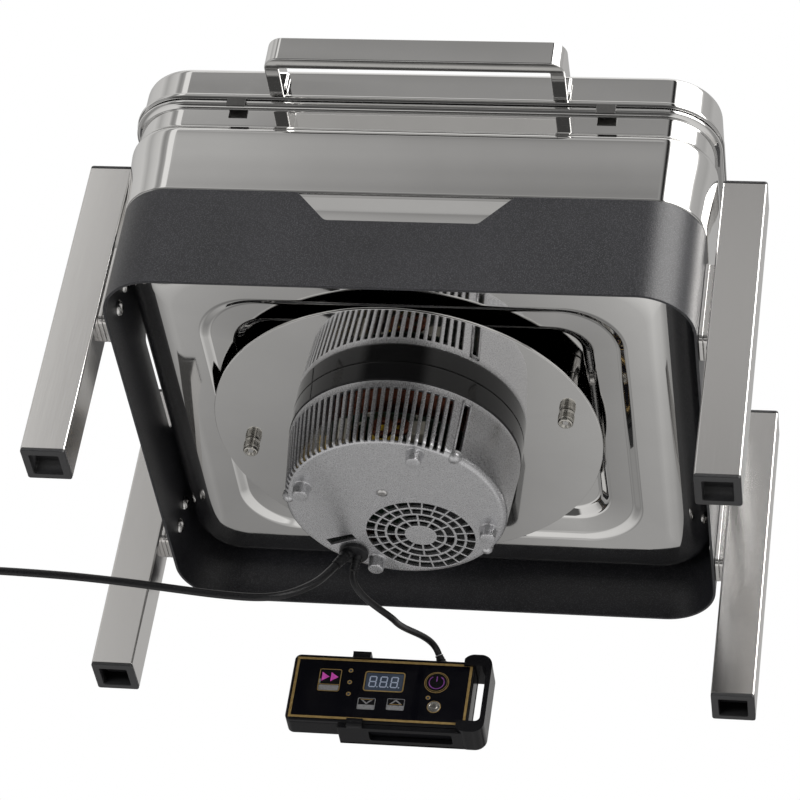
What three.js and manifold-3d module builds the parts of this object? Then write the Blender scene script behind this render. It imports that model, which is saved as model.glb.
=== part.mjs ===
// Electric buffet server: a lidded bain-marie on four square legs, heated from below by a round plug-in
// burner that is set from a wired control box. Millimetres, +Z up, +X to the right, the lid handle at -Y.
import * as THREE from "three";
import { mergeVertices } from "three/addons/utils/BufferGeometryUtils.js";
import Module from "manifold-3d";

const wasm = await Module();
wasm.setup();

// ---------------------------------------------------------------- driving dimensions
const CENTRE_Y = 12.5; // moves the legs' centre so that the whole server is centred on Y = 0
const GAP = 0.3; // clearance between neighbouring pieces

const LEG = 32, LEG_WALL = 1.5, LEG_X = 233.7, LEG_Y = 133.4, LEG_TOP = 265.6, CAP = 2.6;
const BAND = { hx: 211, hy: 195, r: 41, wall: 2, z0: 117.6, z1: 204.7 };
const NOTCH = { top: 78, bottom: 55, depth: 25.7 };
const NOTCH_SIDE = { top: 77, bottom: 53, depth: 26.7 };
const BOLT_Z = [143, 165];

const WALL = { hx: 212, hy: 194.5, r: 38.5 }; // outer face of the pan body's wall above the frame band
const WELL = { hx: 208.5, hy: 192.5, r: 44.5 }; // the same wall where it goes down inside the band
const SHEET = 0.9; // steel sheet thickness
const ROLL = 5.2; // how far both rims stand out of the wall
const AXIS = { y: 209, z: 288.4, r: 3, knuckle: 6 }; // lid hinge

const HANDLE = { x0: -111, x1: 107, front: -240, thick: 10.5, z0: 291, z1: 312.2, r: 11.5 };

const CX = -12; // burner axis
const DISC = { r: 145, z: 140, t: 2 };
const STUDS = [[-120, 16, 151.8], [121, -32, 157.2]]; // place on the disc and height of the shoulder under the pan
const RING = { r: 86.5, z0: 123.3, z1: 139.7 };
const HOUSING = { top: 86, bottom: 82, z0: 72, z1: 123, wall: 2.5 };
const VENT = { first: -175, last: -56, pitch: 4, width: 3, z1: 117 };
const GRILLE = { x: 15, y: 33, rings: [[12, 17.5], [19.5, 25], [27, 32.5], [34.5, 40.5]], spokes: 12 };
const OUTLET = { x: -38, y: 57, r: 9 };
const FEET = [18, 108, 198, 288];

const CASE = { x0: -111.5, x1: 30, z0: 4.6, z1: 64.9, y0: 187, y1: 207, r: 5 };
const LEAD_D = 5.2, MAINS_D = 6;
const COIL = { x: -355, y: 46, inner: 21.7, outer: 46.3, z0: 0.05, z1: 12.4 };

// ---------------------------------------------------------------- helpers
const root = new THREE.Group();
root.position.y = CENTRE_Y;

function toSolid(geometry) {
  const source = geometry.index ? geometry.toNonIndexed() : geometry;
  const bare = new THREE.BufferGeometry().setAttribute("position", source.getAttribute("position").clone());
  const merged = mergeVertices(bare, 1e-4);
  const index = merged.index.array, tris = [];
  for (let i = 0; i < index.length; i += 3)
    if (index[i] !== index[i + 1] && index[i + 1] !== index[i + 2] && index[i] !== index[i + 2])
      tris.push(index[i], index[i + 1], index[i + 2]);
  const make = (t) =>
    new wasm.Manifold(new wasm.Mesh({ numProp: 3, vertProperties: merged.attributes.position.array, triVerts: new Uint32Array(t) }));
  const solid = make(tris);
  if (solid.volume() >= 0) return solid;
  for (let i = 0; i < tris.length; i += 3) [tris[i + 1], tris[i + 2]] = [tris[i + 2], tris[i + 1]];
  return make(tris);
}
const join = (first, ...rest) => rest.reduce((a, b) => a.add(b), first);
const cut = (first, ...rest) => rest.reduce((a, b) => a.subtract(b), first);

function add(name, solid, material, parent = root) {
  const m = solid.getMesh();
  const geometry = new THREE.BufferGeometry();
  geometry.setAttribute("position", new THREE.BufferAttribute(new Float32Array(m.vertProperties), 3));
  geometry.setIndex(new THREE.BufferAttribute(new Uint32Array(m.triVerts), 1));
  geometry.computeVertexNormals();
  const mesh = new THREE.Mesh(geometry, material.clone());
  mesh.name = name;
  parent.add(mesh);
  return mesh;
}
const box = (x0, x1, y0, y1, z0, z1) =>
  toSolid(new THREE.BoxGeometry(x1 - x0, y1 - y0, z1 - z0).translate((x0 + x1) / 2, (y0 + y1) / 2, (z0 + z1) / 2));
// A rod of n sides from point a to point b, of radius ra at a and rb at b.
function rod(a, b, ra, rb = ra, n = 16) {
  const from = new THREE.Vector3(...a), to = new THREE.Vector3(...b), way = to.clone().sub(from);
  const g = new THREE.CylinderGeometry(rb, ra, way.length(), n);
  g.applyQuaternion(new THREE.Quaternion().setFromUnitVectors(new THREE.Vector3(0, 1, 0), way.clone().normalize()));
  const mid = from.add(to).multiplyScalar(0.5);
  return toSolid(g.translate(mid.x, mid.y, mid.z));
}
// A profile of [radius, height] pairs turned about the vertical through (x, y).
const turn = (profile, n, x = 0, y = 0) =>
  toSolid(new THREE.LatheGeometry(profile.map((q) => new THREE.Vector2(...q)), n).rotateX(Math.PI / 2).translate(x, y, 0));
function shapeOf(points, holes = []) {
  const s = new THREE.Shape(points.map((q) => new THREE.Vector2(...q)));
  s.holes = holes.map((h) => new THREE.Path(h.map((q) => new THREE.Vector2(...q))));
  return s;
}
// Outlines drawn in XY, in YZ and in XZ, pushed out along the third axis.
const prismZ = (points, z0, z1, holes) =>
  toSolid(new THREE.ExtrudeGeometry(shapeOf(points, holes), { depth: z1 - z0, bevelEnabled: false }).translate(0, 0, z0));
const prismX = (points, x0, x1, holes) =>
  toSolid(new THREE.ExtrudeGeometry(shapeOf(points, holes), { depth: x1 - x0, bevelEnabled: false })
    .applyMatrix4(new THREE.Matrix4().set(0, 0, 1, x0, 1, 0, 0, 0, 0, 1, 0, 0, 0, 0, 0, 1)));
const prismY = (points, y0, y1, holes) =>
  toSolid(new THREE.ExtrudeGeometry(shapeOf(points, holes), { depth: y1 - y0, bevelEnabled: false })
    .applyMatrix4(new THREE.Matrix4().set(1, 0, 0, 0, 0, 0, -1, y1, 0, 1, 0, 0, 0, 0, 0, 1)));
// Corner points of a rounded rectangle centred on (cx, cy), anticlockwise, n segments a corner.
function rounded(hx, hy, r, n = 6, cx = 0, cy = 0) {
  const out = [];
  for (const [sx, sy, start] of [[1, -1, -90], [1, 1, 0], [-1, 1, 90], [-1, -1, 180]])
    for (let i = 0; i <= n; i++) {
      const a = ((start + (90 * i) / n) * Math.PI) / 180;
      out.push([cx + sx * (hx - r) + r * Math.cos(a), cy + sy * (hy - r) + r * Math.sin(a)]);
    }
  return out;
}
const roundedBox = (x0, x1, y0, y1, z0, z1, r, n) =>
  prismZ(rounded((x1 - x0) / 2, (y1 - y0) / 2, r, n, (x0 + x1) / 2, (y0 + y1) / 2), z0, z1);
const roundedPlateY = (x0, x1, z0, z1, y0, y1, r, n = 4) =>
  prismY(rounded((x1 - x0) / 2, (z1 - z0) / 2, r, n, (x0 + x1) / 2, (z0 + z1) / 2), y0, y1);
// A skin through nested rounded rectangles, closed by a flat end at its first and its last ring.
// Each ring is [half width, half depth, corner radius, height].
function loft(rings, n = 6) {
  const loops = rings.map(([hx, hy, r, z]) => rounded(hx, hy, r, n).map(([x, y]) => [x, y, z]));
  const count = loops[0].length, vertices = loops.flat(2), index = [];
  for (let k = 0; k + 1 < loops.length; k++)
    for (let i = 0; i < count; i++) {
      const j = (i + 1) % count, a = k * count + i, b = k * count + j, c = a + count, d = b + count;
      index.push(a, b, d, a, d, c);
    }
  const last = (loops.length - 1) * count;
  for (let i = 1; i + 1 < count; i++) {
    index.push(0, i + 1, i);
    index.push(last, last + i, last + i + 1);
  }
  const g = new THREE.BufferGeometry();
  g.setAttribute("position", new THREE.BufferAttribute(new Float32Array(vertices), 3));
  g.setIndex(index);
  return toSolid(g);
}
const wallRing = (d, z) => [WALL.hx + d, WALL.hy + d, Math.max(WALL.r + d, 4), z];
const wellRing = (d, z) => [WELL.hx + d, WELL.hy + d, Math.max(WELL.r + d, 4), z];
// A round cord along points, on one smooth curve.
function cord(points, diameter, sides, steps) {
  const path = new THREE.CatmullRomCurve3(points.map((q) => new THREE.Vector3(...q)), false, "centripetal");
  const section = new THREE.Shape();
  for (let i = 0; i < sides; i++) {
    const a = (2 * Math.PI * i) / sides, x = (diameter / 2) * Math.cos(a), y = (diameter / 2) * Math.sin(a);
    if (i) section.lineTo(x, y);
    else section.moveTo(x, y);
  }
  return toSolid(new THREE.ExtrudeGeometry(section, { steps, bevelEnabled: false, extrudePath: path }));
}

const paint = (color, roughness, metalness) => new THREE.MeshStandardMaterial({ color, roughness, metalness });
const MIRROR = paint(0xc9cacc, 0.05, 1), POLISHED = paint(0xd0cfcd, 0.12, 1), BAND_BLACK = paint(0x2b2c30, 0.55, 0.1);
const CAP_BLACK = paint(0x151515, 0.5, 0), SCREW = paint(0xb9bbbd, 0.2, 1), SILVER = paint(0xb2b3b6, 0.38, 0.6);
const GLOSS_BLACK = paint(0x060607, 0.08, 0), RUBBER = paint(0x17171a, 0.7, 0), COPPER = paint(0xb4572f, 0.35, 0.9);
const BOARD_GREEN = paint(0x2f5a3b, 0.6, 0), CASE_BLACK = paint(0x0c0c0d, 0.3, 0), KEY = paint(0x2a2a2c, 0.35, 0);
const DISPLAY = paint(0x3a4558, 0.15, 0), NICKEL = paint(0xaaa69c, 0.22, 1), BLADE = paint(0xc6a763, 0.25, 1);

// ---------------------------------------------------------------- legs, their caps and the frame band
const sides = [["front_left", -1, -1], ["front_right", 1, -1], ["rear_left", -1, 1], ["rear_right", 1, 1]];
for (const [where, sx, sy] of sides) {
  const x = sx * LEG_X, y = sy * LEG_Y, h = LEG / 2, i = h - LEG_WALL;
  const inner = sx * (LEG_X - h), face = sx * (BAND.hx + GAP); // the leg's face and the pad's face towards the band
  let leg = prismZ(rounded(h, h, 1.2, 2, x, y), CAP, LEG_TOP - CAP, [rounded(i, i, 0.6, 1, x, y).reverse()]);
  leg = join(leg, box(Math.min(inner, face), Math.max(inner, face), y - 14, y + 14, 120, 188));
  leg = join(leg, box(Math.min(inner, inner + sx * 0.5), Math.max(inner, inner + sx * 0.5), y - 14, y + 14, 120, 188));
  for (const z of BOLT_Z) leg = cut(leg, rod([face - sx * 2, y, z], [inner + sx * 4, y, z], 2.9, 2.9, 8));
  add("leg_" + where, leg, POLISHED);

  const plug = i - GAP;
  const foot = cut(
    join(prismZ(rounded(h, h, 1.2, 2, x, y), 0, CAP - 0.1), prismZ(rounded(plug, plug, 0.6, 1, x, y), 0, 15)),
    box(x - 10.5, x + 10.5, y - 10.5, y + 10.5, -1, 12));
  add("foot_cap_" + where, foot, CAP_BLACK);
  const top = join(
    prismZ(rounded(h, h, 1.2, 2, x, y), LEG_TOP - CAP + 0.1, LEG_TOP),
    prismZ(rounded(plug, plug, 0.6, 1, x, y), LEG_TOP - 12, LEG_TOP - CAP + 0.2));
  add("top_cap_" + where, top, CAP_BLACK);

  for (const [k, z] of [["lower", BOLT_Z[0]], ["upper", BOLT_Z[1]]]) {
    const at = sx * (BAND.hx - BAND.wall - 0.15), tip = sx * (LEG_X - h + 7);
    let bolt = join(
      rod([at, y, z], [at - sx * 2.2, y, z], 6, 5.7, 14), rod([at - sx * 2.15, y, z], [at - sx * 3.6, y, z], 5.7, 4.1, 14),
      rod([at - sx * 1, y, z], [tip, y, z], 2.5, 2.5, 8));
    bolt = cut(bolt, rod([at - sx * 1.6, y, z], [at - sx * 5, y, z], 2.3, 2.3, 6));
    add("leg_bolt_" + where + "_" + k, bolt, SCREW);
  }
}

{
  const { hx, hy, r, wall, z0, z1 } = BAND;
  let band = prismZ(rounded(hx, hy, r, 6), z0, z1, [rounded(hx - wall, hy - wall, r - wall, 6).reverse()]);
  const notch = (n) => [[-n.top, z1 + 1], [-n.top + 0.4, z1 - 1], [-n.bottom, z1 - n.depth], [n.bottom, z1 - n.depth], [n.top - 0.4, z1 - 1], [n.top, z1 + 1]];
  band = cut(band, prismY(notch(NOTCH), -hy - 5, -hy + 10), prismY(notch(NOTCH), hy - 10, hy + 5));
  band = cut(band, prismX(notch(NOTCH_SIDE), -hx - 5, -hx + 10), prismX(notch(NOTCH_SIDE), hx - 10, hx + 5));
  for (const sx of [-1, 1]) for (const sy of [-1, 1]) for (const z of BOLT_Z)
    band = cut(band, rod([sx * (hx - 6), sy * LEG_Y, z], [sx * (hx + 4), sy * LEG_Y, z], 2.9, 2.9, 8));
  add("frame_band", band, BAND_BLACK);
}

// ---------------------------------------------------------------- pan body, food pan, lid
{
  const t = SHEET, body = [
    [20, 20, 8, 158], [124.5, 107.5, 23, 158], [131, 114, 28, 152.6], [149.5, 133, 41, 152.2], [155, 138.5, 45, 150.2], [177, 161, 30, 150],
    wellRing(-25, 150.8), wellRing(-17, 154), wellRing(-10, 159.6), wellRing(-4.4, 168.4), wellRing(-1.2, 178), wellRing(-0.1, 188), [207.9, 191.7, 38, 203.4],
    [208.1, 191.9, 38.2, 205.05], wallRing(-1.6, 205.05), wallRing(-0.7, 206.2), wallRing(-0.3, 215), wallRing(1, 235), wallRing(2.6, 250), wallRing(3.2, 257), wallRing(3.2, 260.5), wallRing(1.6, 263.5), wallRing(0.2, 265.5), wallRing(0, 267),
    wallRing(0, 282.6), wallRing(2.4, 283.6), wallRing(4.2, 285), wallRing(4.6, 286.4), wallRing(4, 287.4),
    wallRing(-t, 287.4), wallRing(-t, 267.3), wallRing(2.2, 260.2), wallRing(2.2, 257.2), wallRing(0, 235), wallRing(-1.7, 207.5), [206.9, 190.7, 37, 204.4], wellRing(-1.1, 188), wellRing(-5.2, 168.9), wellRing(-10.7, 160.2), wellRing(-25, 151.8),
    [176.5, 160.5, 30, 150.9], [154, 137.5, 44, 151.1], [148.5, 132, 40, 153.1], [130, 113, 27, 153.5], [123.5, 106.5, 22, 158.9], [20, 20, 8, 158.9]];
  let pan = loft(body, 4);
  for (const [dx, dy, top] of STUDS) pan = cut(pan, rod([CX + dx, dy, top - 4], [CX + dx, dy, top + 5], 2.9, 2.9, 12));
  for (const x of [-48, 48]) pan = cut(pan, rod([x, 188, 271], [x, 196, 271], 2.2, 2.2, 10));
  add("water_pan_body", pan, MIRROR);
}
{
  const f = (hx, hy, r, z) => [hx, hy, r, z];
  add("food_pan", loft([
    f(60, 50, 20, 222), f(160, 145, 28, 222), f(169, 154, 36, 225), f(173, 158, 40, 233), f(176, 161, 43, 284.5), f(179, 164, 46, 287.7),
    wallRing(3.2, 287.7), wallRing(3.2, 288.6), f(178.4, 163.4, 45.4, 288.6), f(175.1, 160.1, 42.1, 284.8),
    f(172.1, 157.1, 39.1, 233.3), f(168.4, 153.4, 35.4, 225.8), f(159.6, 144.6, 27.6, 222.9), f(60, 50, 20, 222.9)], 4), POLISHED);
}
{
  const lid = [
    wallRing(0.6, 289.3), wallRing(4, 289.3), wallRing(ROLL, 290.7), wallRing(ROLL, 292.8), wallRing(4.2, 294.6), wallRing(2.5, 295.1),
    wallRing(2, 295.7), wallRing(2, 318.5), wallRing(1.2, 320.6), wallRing(-1, 322), wallRing(-14, 327.5), wallRing(-40, 334), wallRing(-80, 339.5), wallRing(-130, 343), [40, 24, 10, 345]];
  const inside = [
    wallRing(0.6, 280), wallRing(0.6, 298), wallRing(1.1, 299.5), wallRing(1.1, 318.2), wallRing(0.4, 319.8), wallRing(-1.4, 321),
    wallRing(-14.3, 326.5), wallRing(-40.2, 333), wallRing(-80.1, 338.6), wallRing(-130, 342.1), [40, 24, 10, 344.1]];
  lid[0] = wallRing(0, 289.3); // the skirt's lower edge, before the inside is taken out
  let shell = cut(loft(lid, 4), loft(inside, 4));
  for (const x of [-48, 48]) shell = cut(shell, rod([x, 188, 309], [x, 198, 309], 2.2, 2.2, 10));
  for (const x of [HANDLE.x0 + 5, HANDLE.x1 - 5]) shell = cut(shell, rod([x, -198, 307], [x, -188, 307], 2.2, 2.2, 10));
  add("lid_shell", shell, MIRROR);
}
{
  const { x0, x1, front, thick, z0, z1, r } = HANDLE, back = -WALL.hy - 2 - GAP, n = 6, out = [], inn = [];
  const cx = [x0 + r, x1 - r];
  for (let i = 0; i <= n; i++) {
    const a = Math.PI + (Math.PI / 2) * (i / n);
    out.push([cx[0] + r * Math.cos(a), front + r + r * Math.sin(a)]);
  }
  for (let i = 0; i <= n; i++) {
    const a = -Math.PI / 2 + (Math.PI / 2) * (i / n);
    out.push([cx[1] + r * Math.cos(a), front + r + r * Math.sin(a)]);
  }
  const q = r - thick;
  for (let i = 0; i <= n; i++) {
    const a = -(Math.PI / 2) * (i / n);
    inn.push([cx[1] + q * Math.cos(a), front + r + q * Math.sin(a)]);
  }
  for (let i = 0; i <= n; i++) {
    const a = -Math.PI / 2 - (Math.PI / 2) * (i / n);
    inn.push([cx[0] + q * Math.cos(a), front + r + q * Math.sin(a)]);
  }
  let bar = prismZ([[x0, back], ...out, [x1, back], [x1 - thick, back], ...inn, [x0 + thick, back]], z0, z1);
  for (const x of [x0 + thick / 2, x1 - thick / 2])
    bar = join(bar, box(x - 6.2, x + 6.2, back - 5.5, back, z0 + 6.5, z1 + 1), rod([x, back - 3, 307], [x, back + 8, 307], 1.9, 1.9, 10));
  bar = cut(bar, box(x0 - 10, x1 + 10, -WALL.hy - ROLL - 0.8, back + 20, z0 - 10, 299));
  add("lid_handle", bar, MIRROR);
}
for (const [name, x] of [["bumper_left", -135], ["bumper_right", 135]])
  add(name, join(box(x - 7, x + 7, -WALL.hy - ROLL - 1.7, -WALL.hy - ROLL - GAP, 280.2, 289), box(x - 7, x + 7, -WALL.hy - ROLL - 1, -WALL.hy - 4.5, 287.7, 289)), RUBBER);

// ---------------------------------------------------------------- lid hinge
{
  const { y, z, r, knuckle } = AXIS, k = 16;
  const eye = (x0, x1) => rod([x0, y, z], [x1, y, z], knuckle, knuckle, k);
  const bore = (x0, x1) => rod([x0 - 1, y, z], [x1 + 1, y, z], r + 0.12, r + 0.12, k);
  const wallY = WALL.hy + GAP, strap = (x0, x1) => join(eye(x0, x1),
    prismX([[wallY, 268.2], [wallY + 2, 268.2], [wallY + 2, 272.6], [y, 272.6], [y + 3.5, 276], [y + 5.8, z], [y - 2, z], [y - 3, 285], [y - 4.6, 277.5], [y - 5.4, 275.6], [wallY, 275.6]], x0, x1));
  let base = join(strap(-62, -36), strap(36, 62), box(-62, 62, wallY, wallY + 2, 268.2, 282));
  base = join(base, rod([-48, wallY - 4, 271], [-48, wallY + 1, 271], 1.9, 1.9, 10), rod([48, wallY - 4, 271], [48, wallY + 1, 271], 1.9, 1.9, 10));
  add("hinge_base", cut(base, bore(-62, 62)), POLISHED);
  const lidY = WALL.hy + 2 + GAP;
  let leaf = join(eye(-35.5, 35.5), box(-35.5, 35.5, lidY, lidY + 2, 299, 316), box(-35.5, 35.5, lidY, y + 2, 299, 301), box(-35.5, 35.5, y - 2, y + 2, 291.5, 300.5));
  leaf = join(leaf, box(-58, 58, lidY, lidY + 2, 303, 316), rod([-48, lidY - 4, 309], [-48, lidY + 1, 309], 1.9, 1.9, 10), rod([48, lidY - 4, 309], [48, lidY + 1, 309], 1.9, 1.9, 10));
  add("hinge_leaf", cut(leaf, bore(-35.5, 35.5)), POLISHED);
  add("hinge_pin", join(rod([-63.5, y, z], [62.5, y, z], r, r, k), rod([-65, y, z], [-62.3, y, z], 4.6, 4.6, k)), SCREW);
}

// ---------------------------------------------------------------- mounting disc and its studs
{
  let disc = turn([[0, DISC.z], [DISC.r, DISC.z], [DISC.r, DISC.z + DISC.t], [0, DISC.z + DISC.t]], 54, CX, 0);
  for (const [dx, dy] of STUDS) disc = cut(disc, rod([CX + dx, dy, 138], [CX + dx, dy, 144], 2.9, 2.9, 12));
  add("mounting_disc", disc, MIRROR);
  STUDS.forEach(([dx, dy, top], i) => {
    const x = CX + dx, name = i ? "right" : "left";
    add("disc_stud_" + name, turn([[0, 131], [2.2, 131], [2.5, 131.4], [2.5, 142.3], [5.5, 142.3], [5.5, top], [2.5, top], [2.5, top + 4.6], [0, top + 4.6]], 14, x, dy), SCREW);
    add("disc_nut_" + name, turn([[2.65, 139.8], [2.65, 131.5], [4.1, 129.7], [5, 129.7], [5.75, 130.5], [5.75, 139.3], [5.3, 139.8], [2.65, 139.8]], 16, x, dy), NICKEL);
  });
}

// ---------------------------------------------------------------- burner
add("burner_upper_case", turn([[83, RING.z0], [RING.r, RING.z0], [RING.r, RING.z1], [83, RING.z1], [83, RING.z0]], 44, CX, 0), GLOSS_BLACK);
add("burner_top_plate", turn([[0, 136], [82.6, 136], [82.6, RING.z1], [0, RING.z1]], 40, CX, 0), GLOSS_BLACK);
add("heating_coil", turn([[18, 129], [70, 129], [70, 133.5], [18, 133.5], [18, 129]], 32, CX, 0), COPPER);
{
  const { top, bottom, z0, z1, wall } = HOUSING, h = [];
  let shell = turn([
    [0, z0], [bottom - 4.5, z0], [bottom - 1.2, z0 + 1.4], [bottom, z0 + 4.5], [top, z1 - 4], [top, z1],
    [top - wall, z1], [top - wall, z1 - 4.5], [bottom - wall, z0 + 5], [bottom - wall - 3, z0 + wall], [0, z0 + wall]], 40);
  for (const a of FEET) {
    const x = 70 * Math.cos((a * Math.PI) / 180), y = 70 * Math.sin((a * Math.PI) / 180);
    shell = join(shell, turn([[0, z0 - 9], [5.6, z0 - 9], [6.3, z0 - 8.2], [6.6, z0 + 1], [0, z0 + 1]], 14, x, y));
  }
  for (let a = VENT.first; a <= VENT.last; a += VENT.pitch) h.push([a, VENT.width, VENT.z1]);
  h.push([-51, 4.6, 117]);
  for (const [a, w, zt] of h) {
    const g = new THREE.BoxGeometry(14, w, zt - (z0 - 2)).translate(79.5 + 7, 0, (zt + z0 - 2) / 2).rotateZ((a * Math.PI) / 180);
    shell = cut(shell, toSolid(g));
  }
  for (const [r0, r1] of GRILLE.rings) {
    const each = 360 / GRILLE.spokes, bar = 1.7;
    for (let k = 0; k < GRILLE.spokes; k++) {
      const a = (k * each * Math.PI) / 180, b = ((k + 1) * each * Math.PI) / 180;
      const p = (r, w, side) => {
        const off = (side * bar) / 2 / r, t = w + off;
        return [GRILLE.x + r * Math.cos(t), GRILLE.y + r * Math.sin(t)];
      };
      shell = cut(shell, prismZ([p(r0, a, 1), p(r1, a, 1), p(r1, b, -1), p(r0, b, -1)], z0 - 2, z0 + wall + 2));
    }
  }
  shell = cut(shell, prismZ([[-57, 43], [-54, 50], [-34, 41], [-37, 35]].reverse(), z0 - 2, z0 + wall + 2));
  shell = cut(shell, rod([OUTLET.x, OUTLET.y, z0 - 2], [OUTLET.x, OUTLET.y, z0 + wall + 2], OUTLET.r, OUTLET.r, 20));
  shell = cut(shell, prismZ([[-39, -24], [-26, 2], [19, -16], [3, -43]].reverse(), z0 - 2, z0 + 0.4));
  shell = cut(shell, rod([-8, -17, z0 - 2], [-8, -17, z0 + wall + 2], 2, 2, 10), rod([-8, -17, z0 - 2], [-8, -17, z0 + 1.3], 4.2, 4.2, 16));
  add("burner_housing", shell, SILVER).position.x = CX;
}
add("housing_screw", cut(turn([[0, 72.2], [3.6, 72.2], [3.8, 72.5], [3.8, 73.2], [1.8, 73.2], [1.8, 84], [0, 84]], 16, CX - 8, -17),
  box(CX - 8 - 2.4, CX - 8 + 2.4, -17.35, -16.65, 71, 72.8)), SCREW);
{
  const b = 102;
  let board = turn([[0, b], [74, b], [74, b + 1.6], [0, b + 1.6]], 40, CX, 0);
  const drop = (x0, x1, y0, y1, z) => box(CX + x0, CX + x1, y0, y1, z, b + 0.2);
  board = join(board, drop(-52, -22, -28, 8, 86), drop(-14, 6, -60, -40, 84), drop(34, 46, -44, -30, 82), drop(-66, -56, -6, 16, 88), drop(14, 30, -58, -46, 92));
  for (let i = 0; i < 5; i++) board = join(board, box(CX - 50 + i * 6.2, CX - 48 + i * 6.2, -28, 8, 79, 86.2));
  board = join(board, rod([CX + 26, -24, b + 0.2], [CX + 26, -24, 80], 9, 9, 18), rod([CX - 34, -46, b + 0.2], [CX - 34, -46, 82], 8, 8, 18), rod([CX - 58, -34, b + 0.2], [CX - 58, -34, 88], 5, 5, 12));
  board = join(board, rod([CX - 8, -17, b + 0.2], [CX - 8, -17, 85.5], 3, 3, 12));
  add("circuit_board", board, BOARD_GREEN);
}
{
  const x = CX + GRILLE.x, y = GRILLE.y, hub = new THREE.Group();
  hub.position.set(x, y, 0);
  root.add(hub);
  let rotor = turn([[0, 79], [10.2, 79], [11, 80], [11, 90.5], [4, 90.5], [4, 91.5], [1.56, 91.5], [1.56, 82], [0, 82]], 18);
  for (let k = 0; k < 7; k++)
    rotor = join(rotor, toSolid(new THREE.BoxGeometry(25.5, 1.3, 13).rotateX(0.9).translate(22.4, 0, 85).rotateZ((k * 2 * Math.PI) / 7)));
  add("fan_rotor", rotor, CASE_BLACK, hub);
  add("fan_motor", turn([[0, 83], [1.2, 83], [1.5, 83.4], [1.5, 92], [12, 92], [12, 97], [6, 97], [6, 101.7], [0, 101.7]], 16, x, y), CASE_BLACK);
}
{
  const x = CX + OUTLET.x, y = OUTLET.y;
  let grommet = turn([[0, 68.6], [10.4, 68.6], [11, 69.2], [11, 71.7], [8.7, 71.7], [8.7, 77], [0, 77]], 18, x, y);
  grommet = join(grommet, rod([-53, 55.5, 70.5], [-60, 48.5, 52.6], 4.8, 3.6, 16), rod([-47.3, 59.5, 70.5], [-49.2, 63.4, 58.9], 4.1, 3.1, 14));
  add("cable_grommet", grommet, RUBBER);
}

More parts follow.
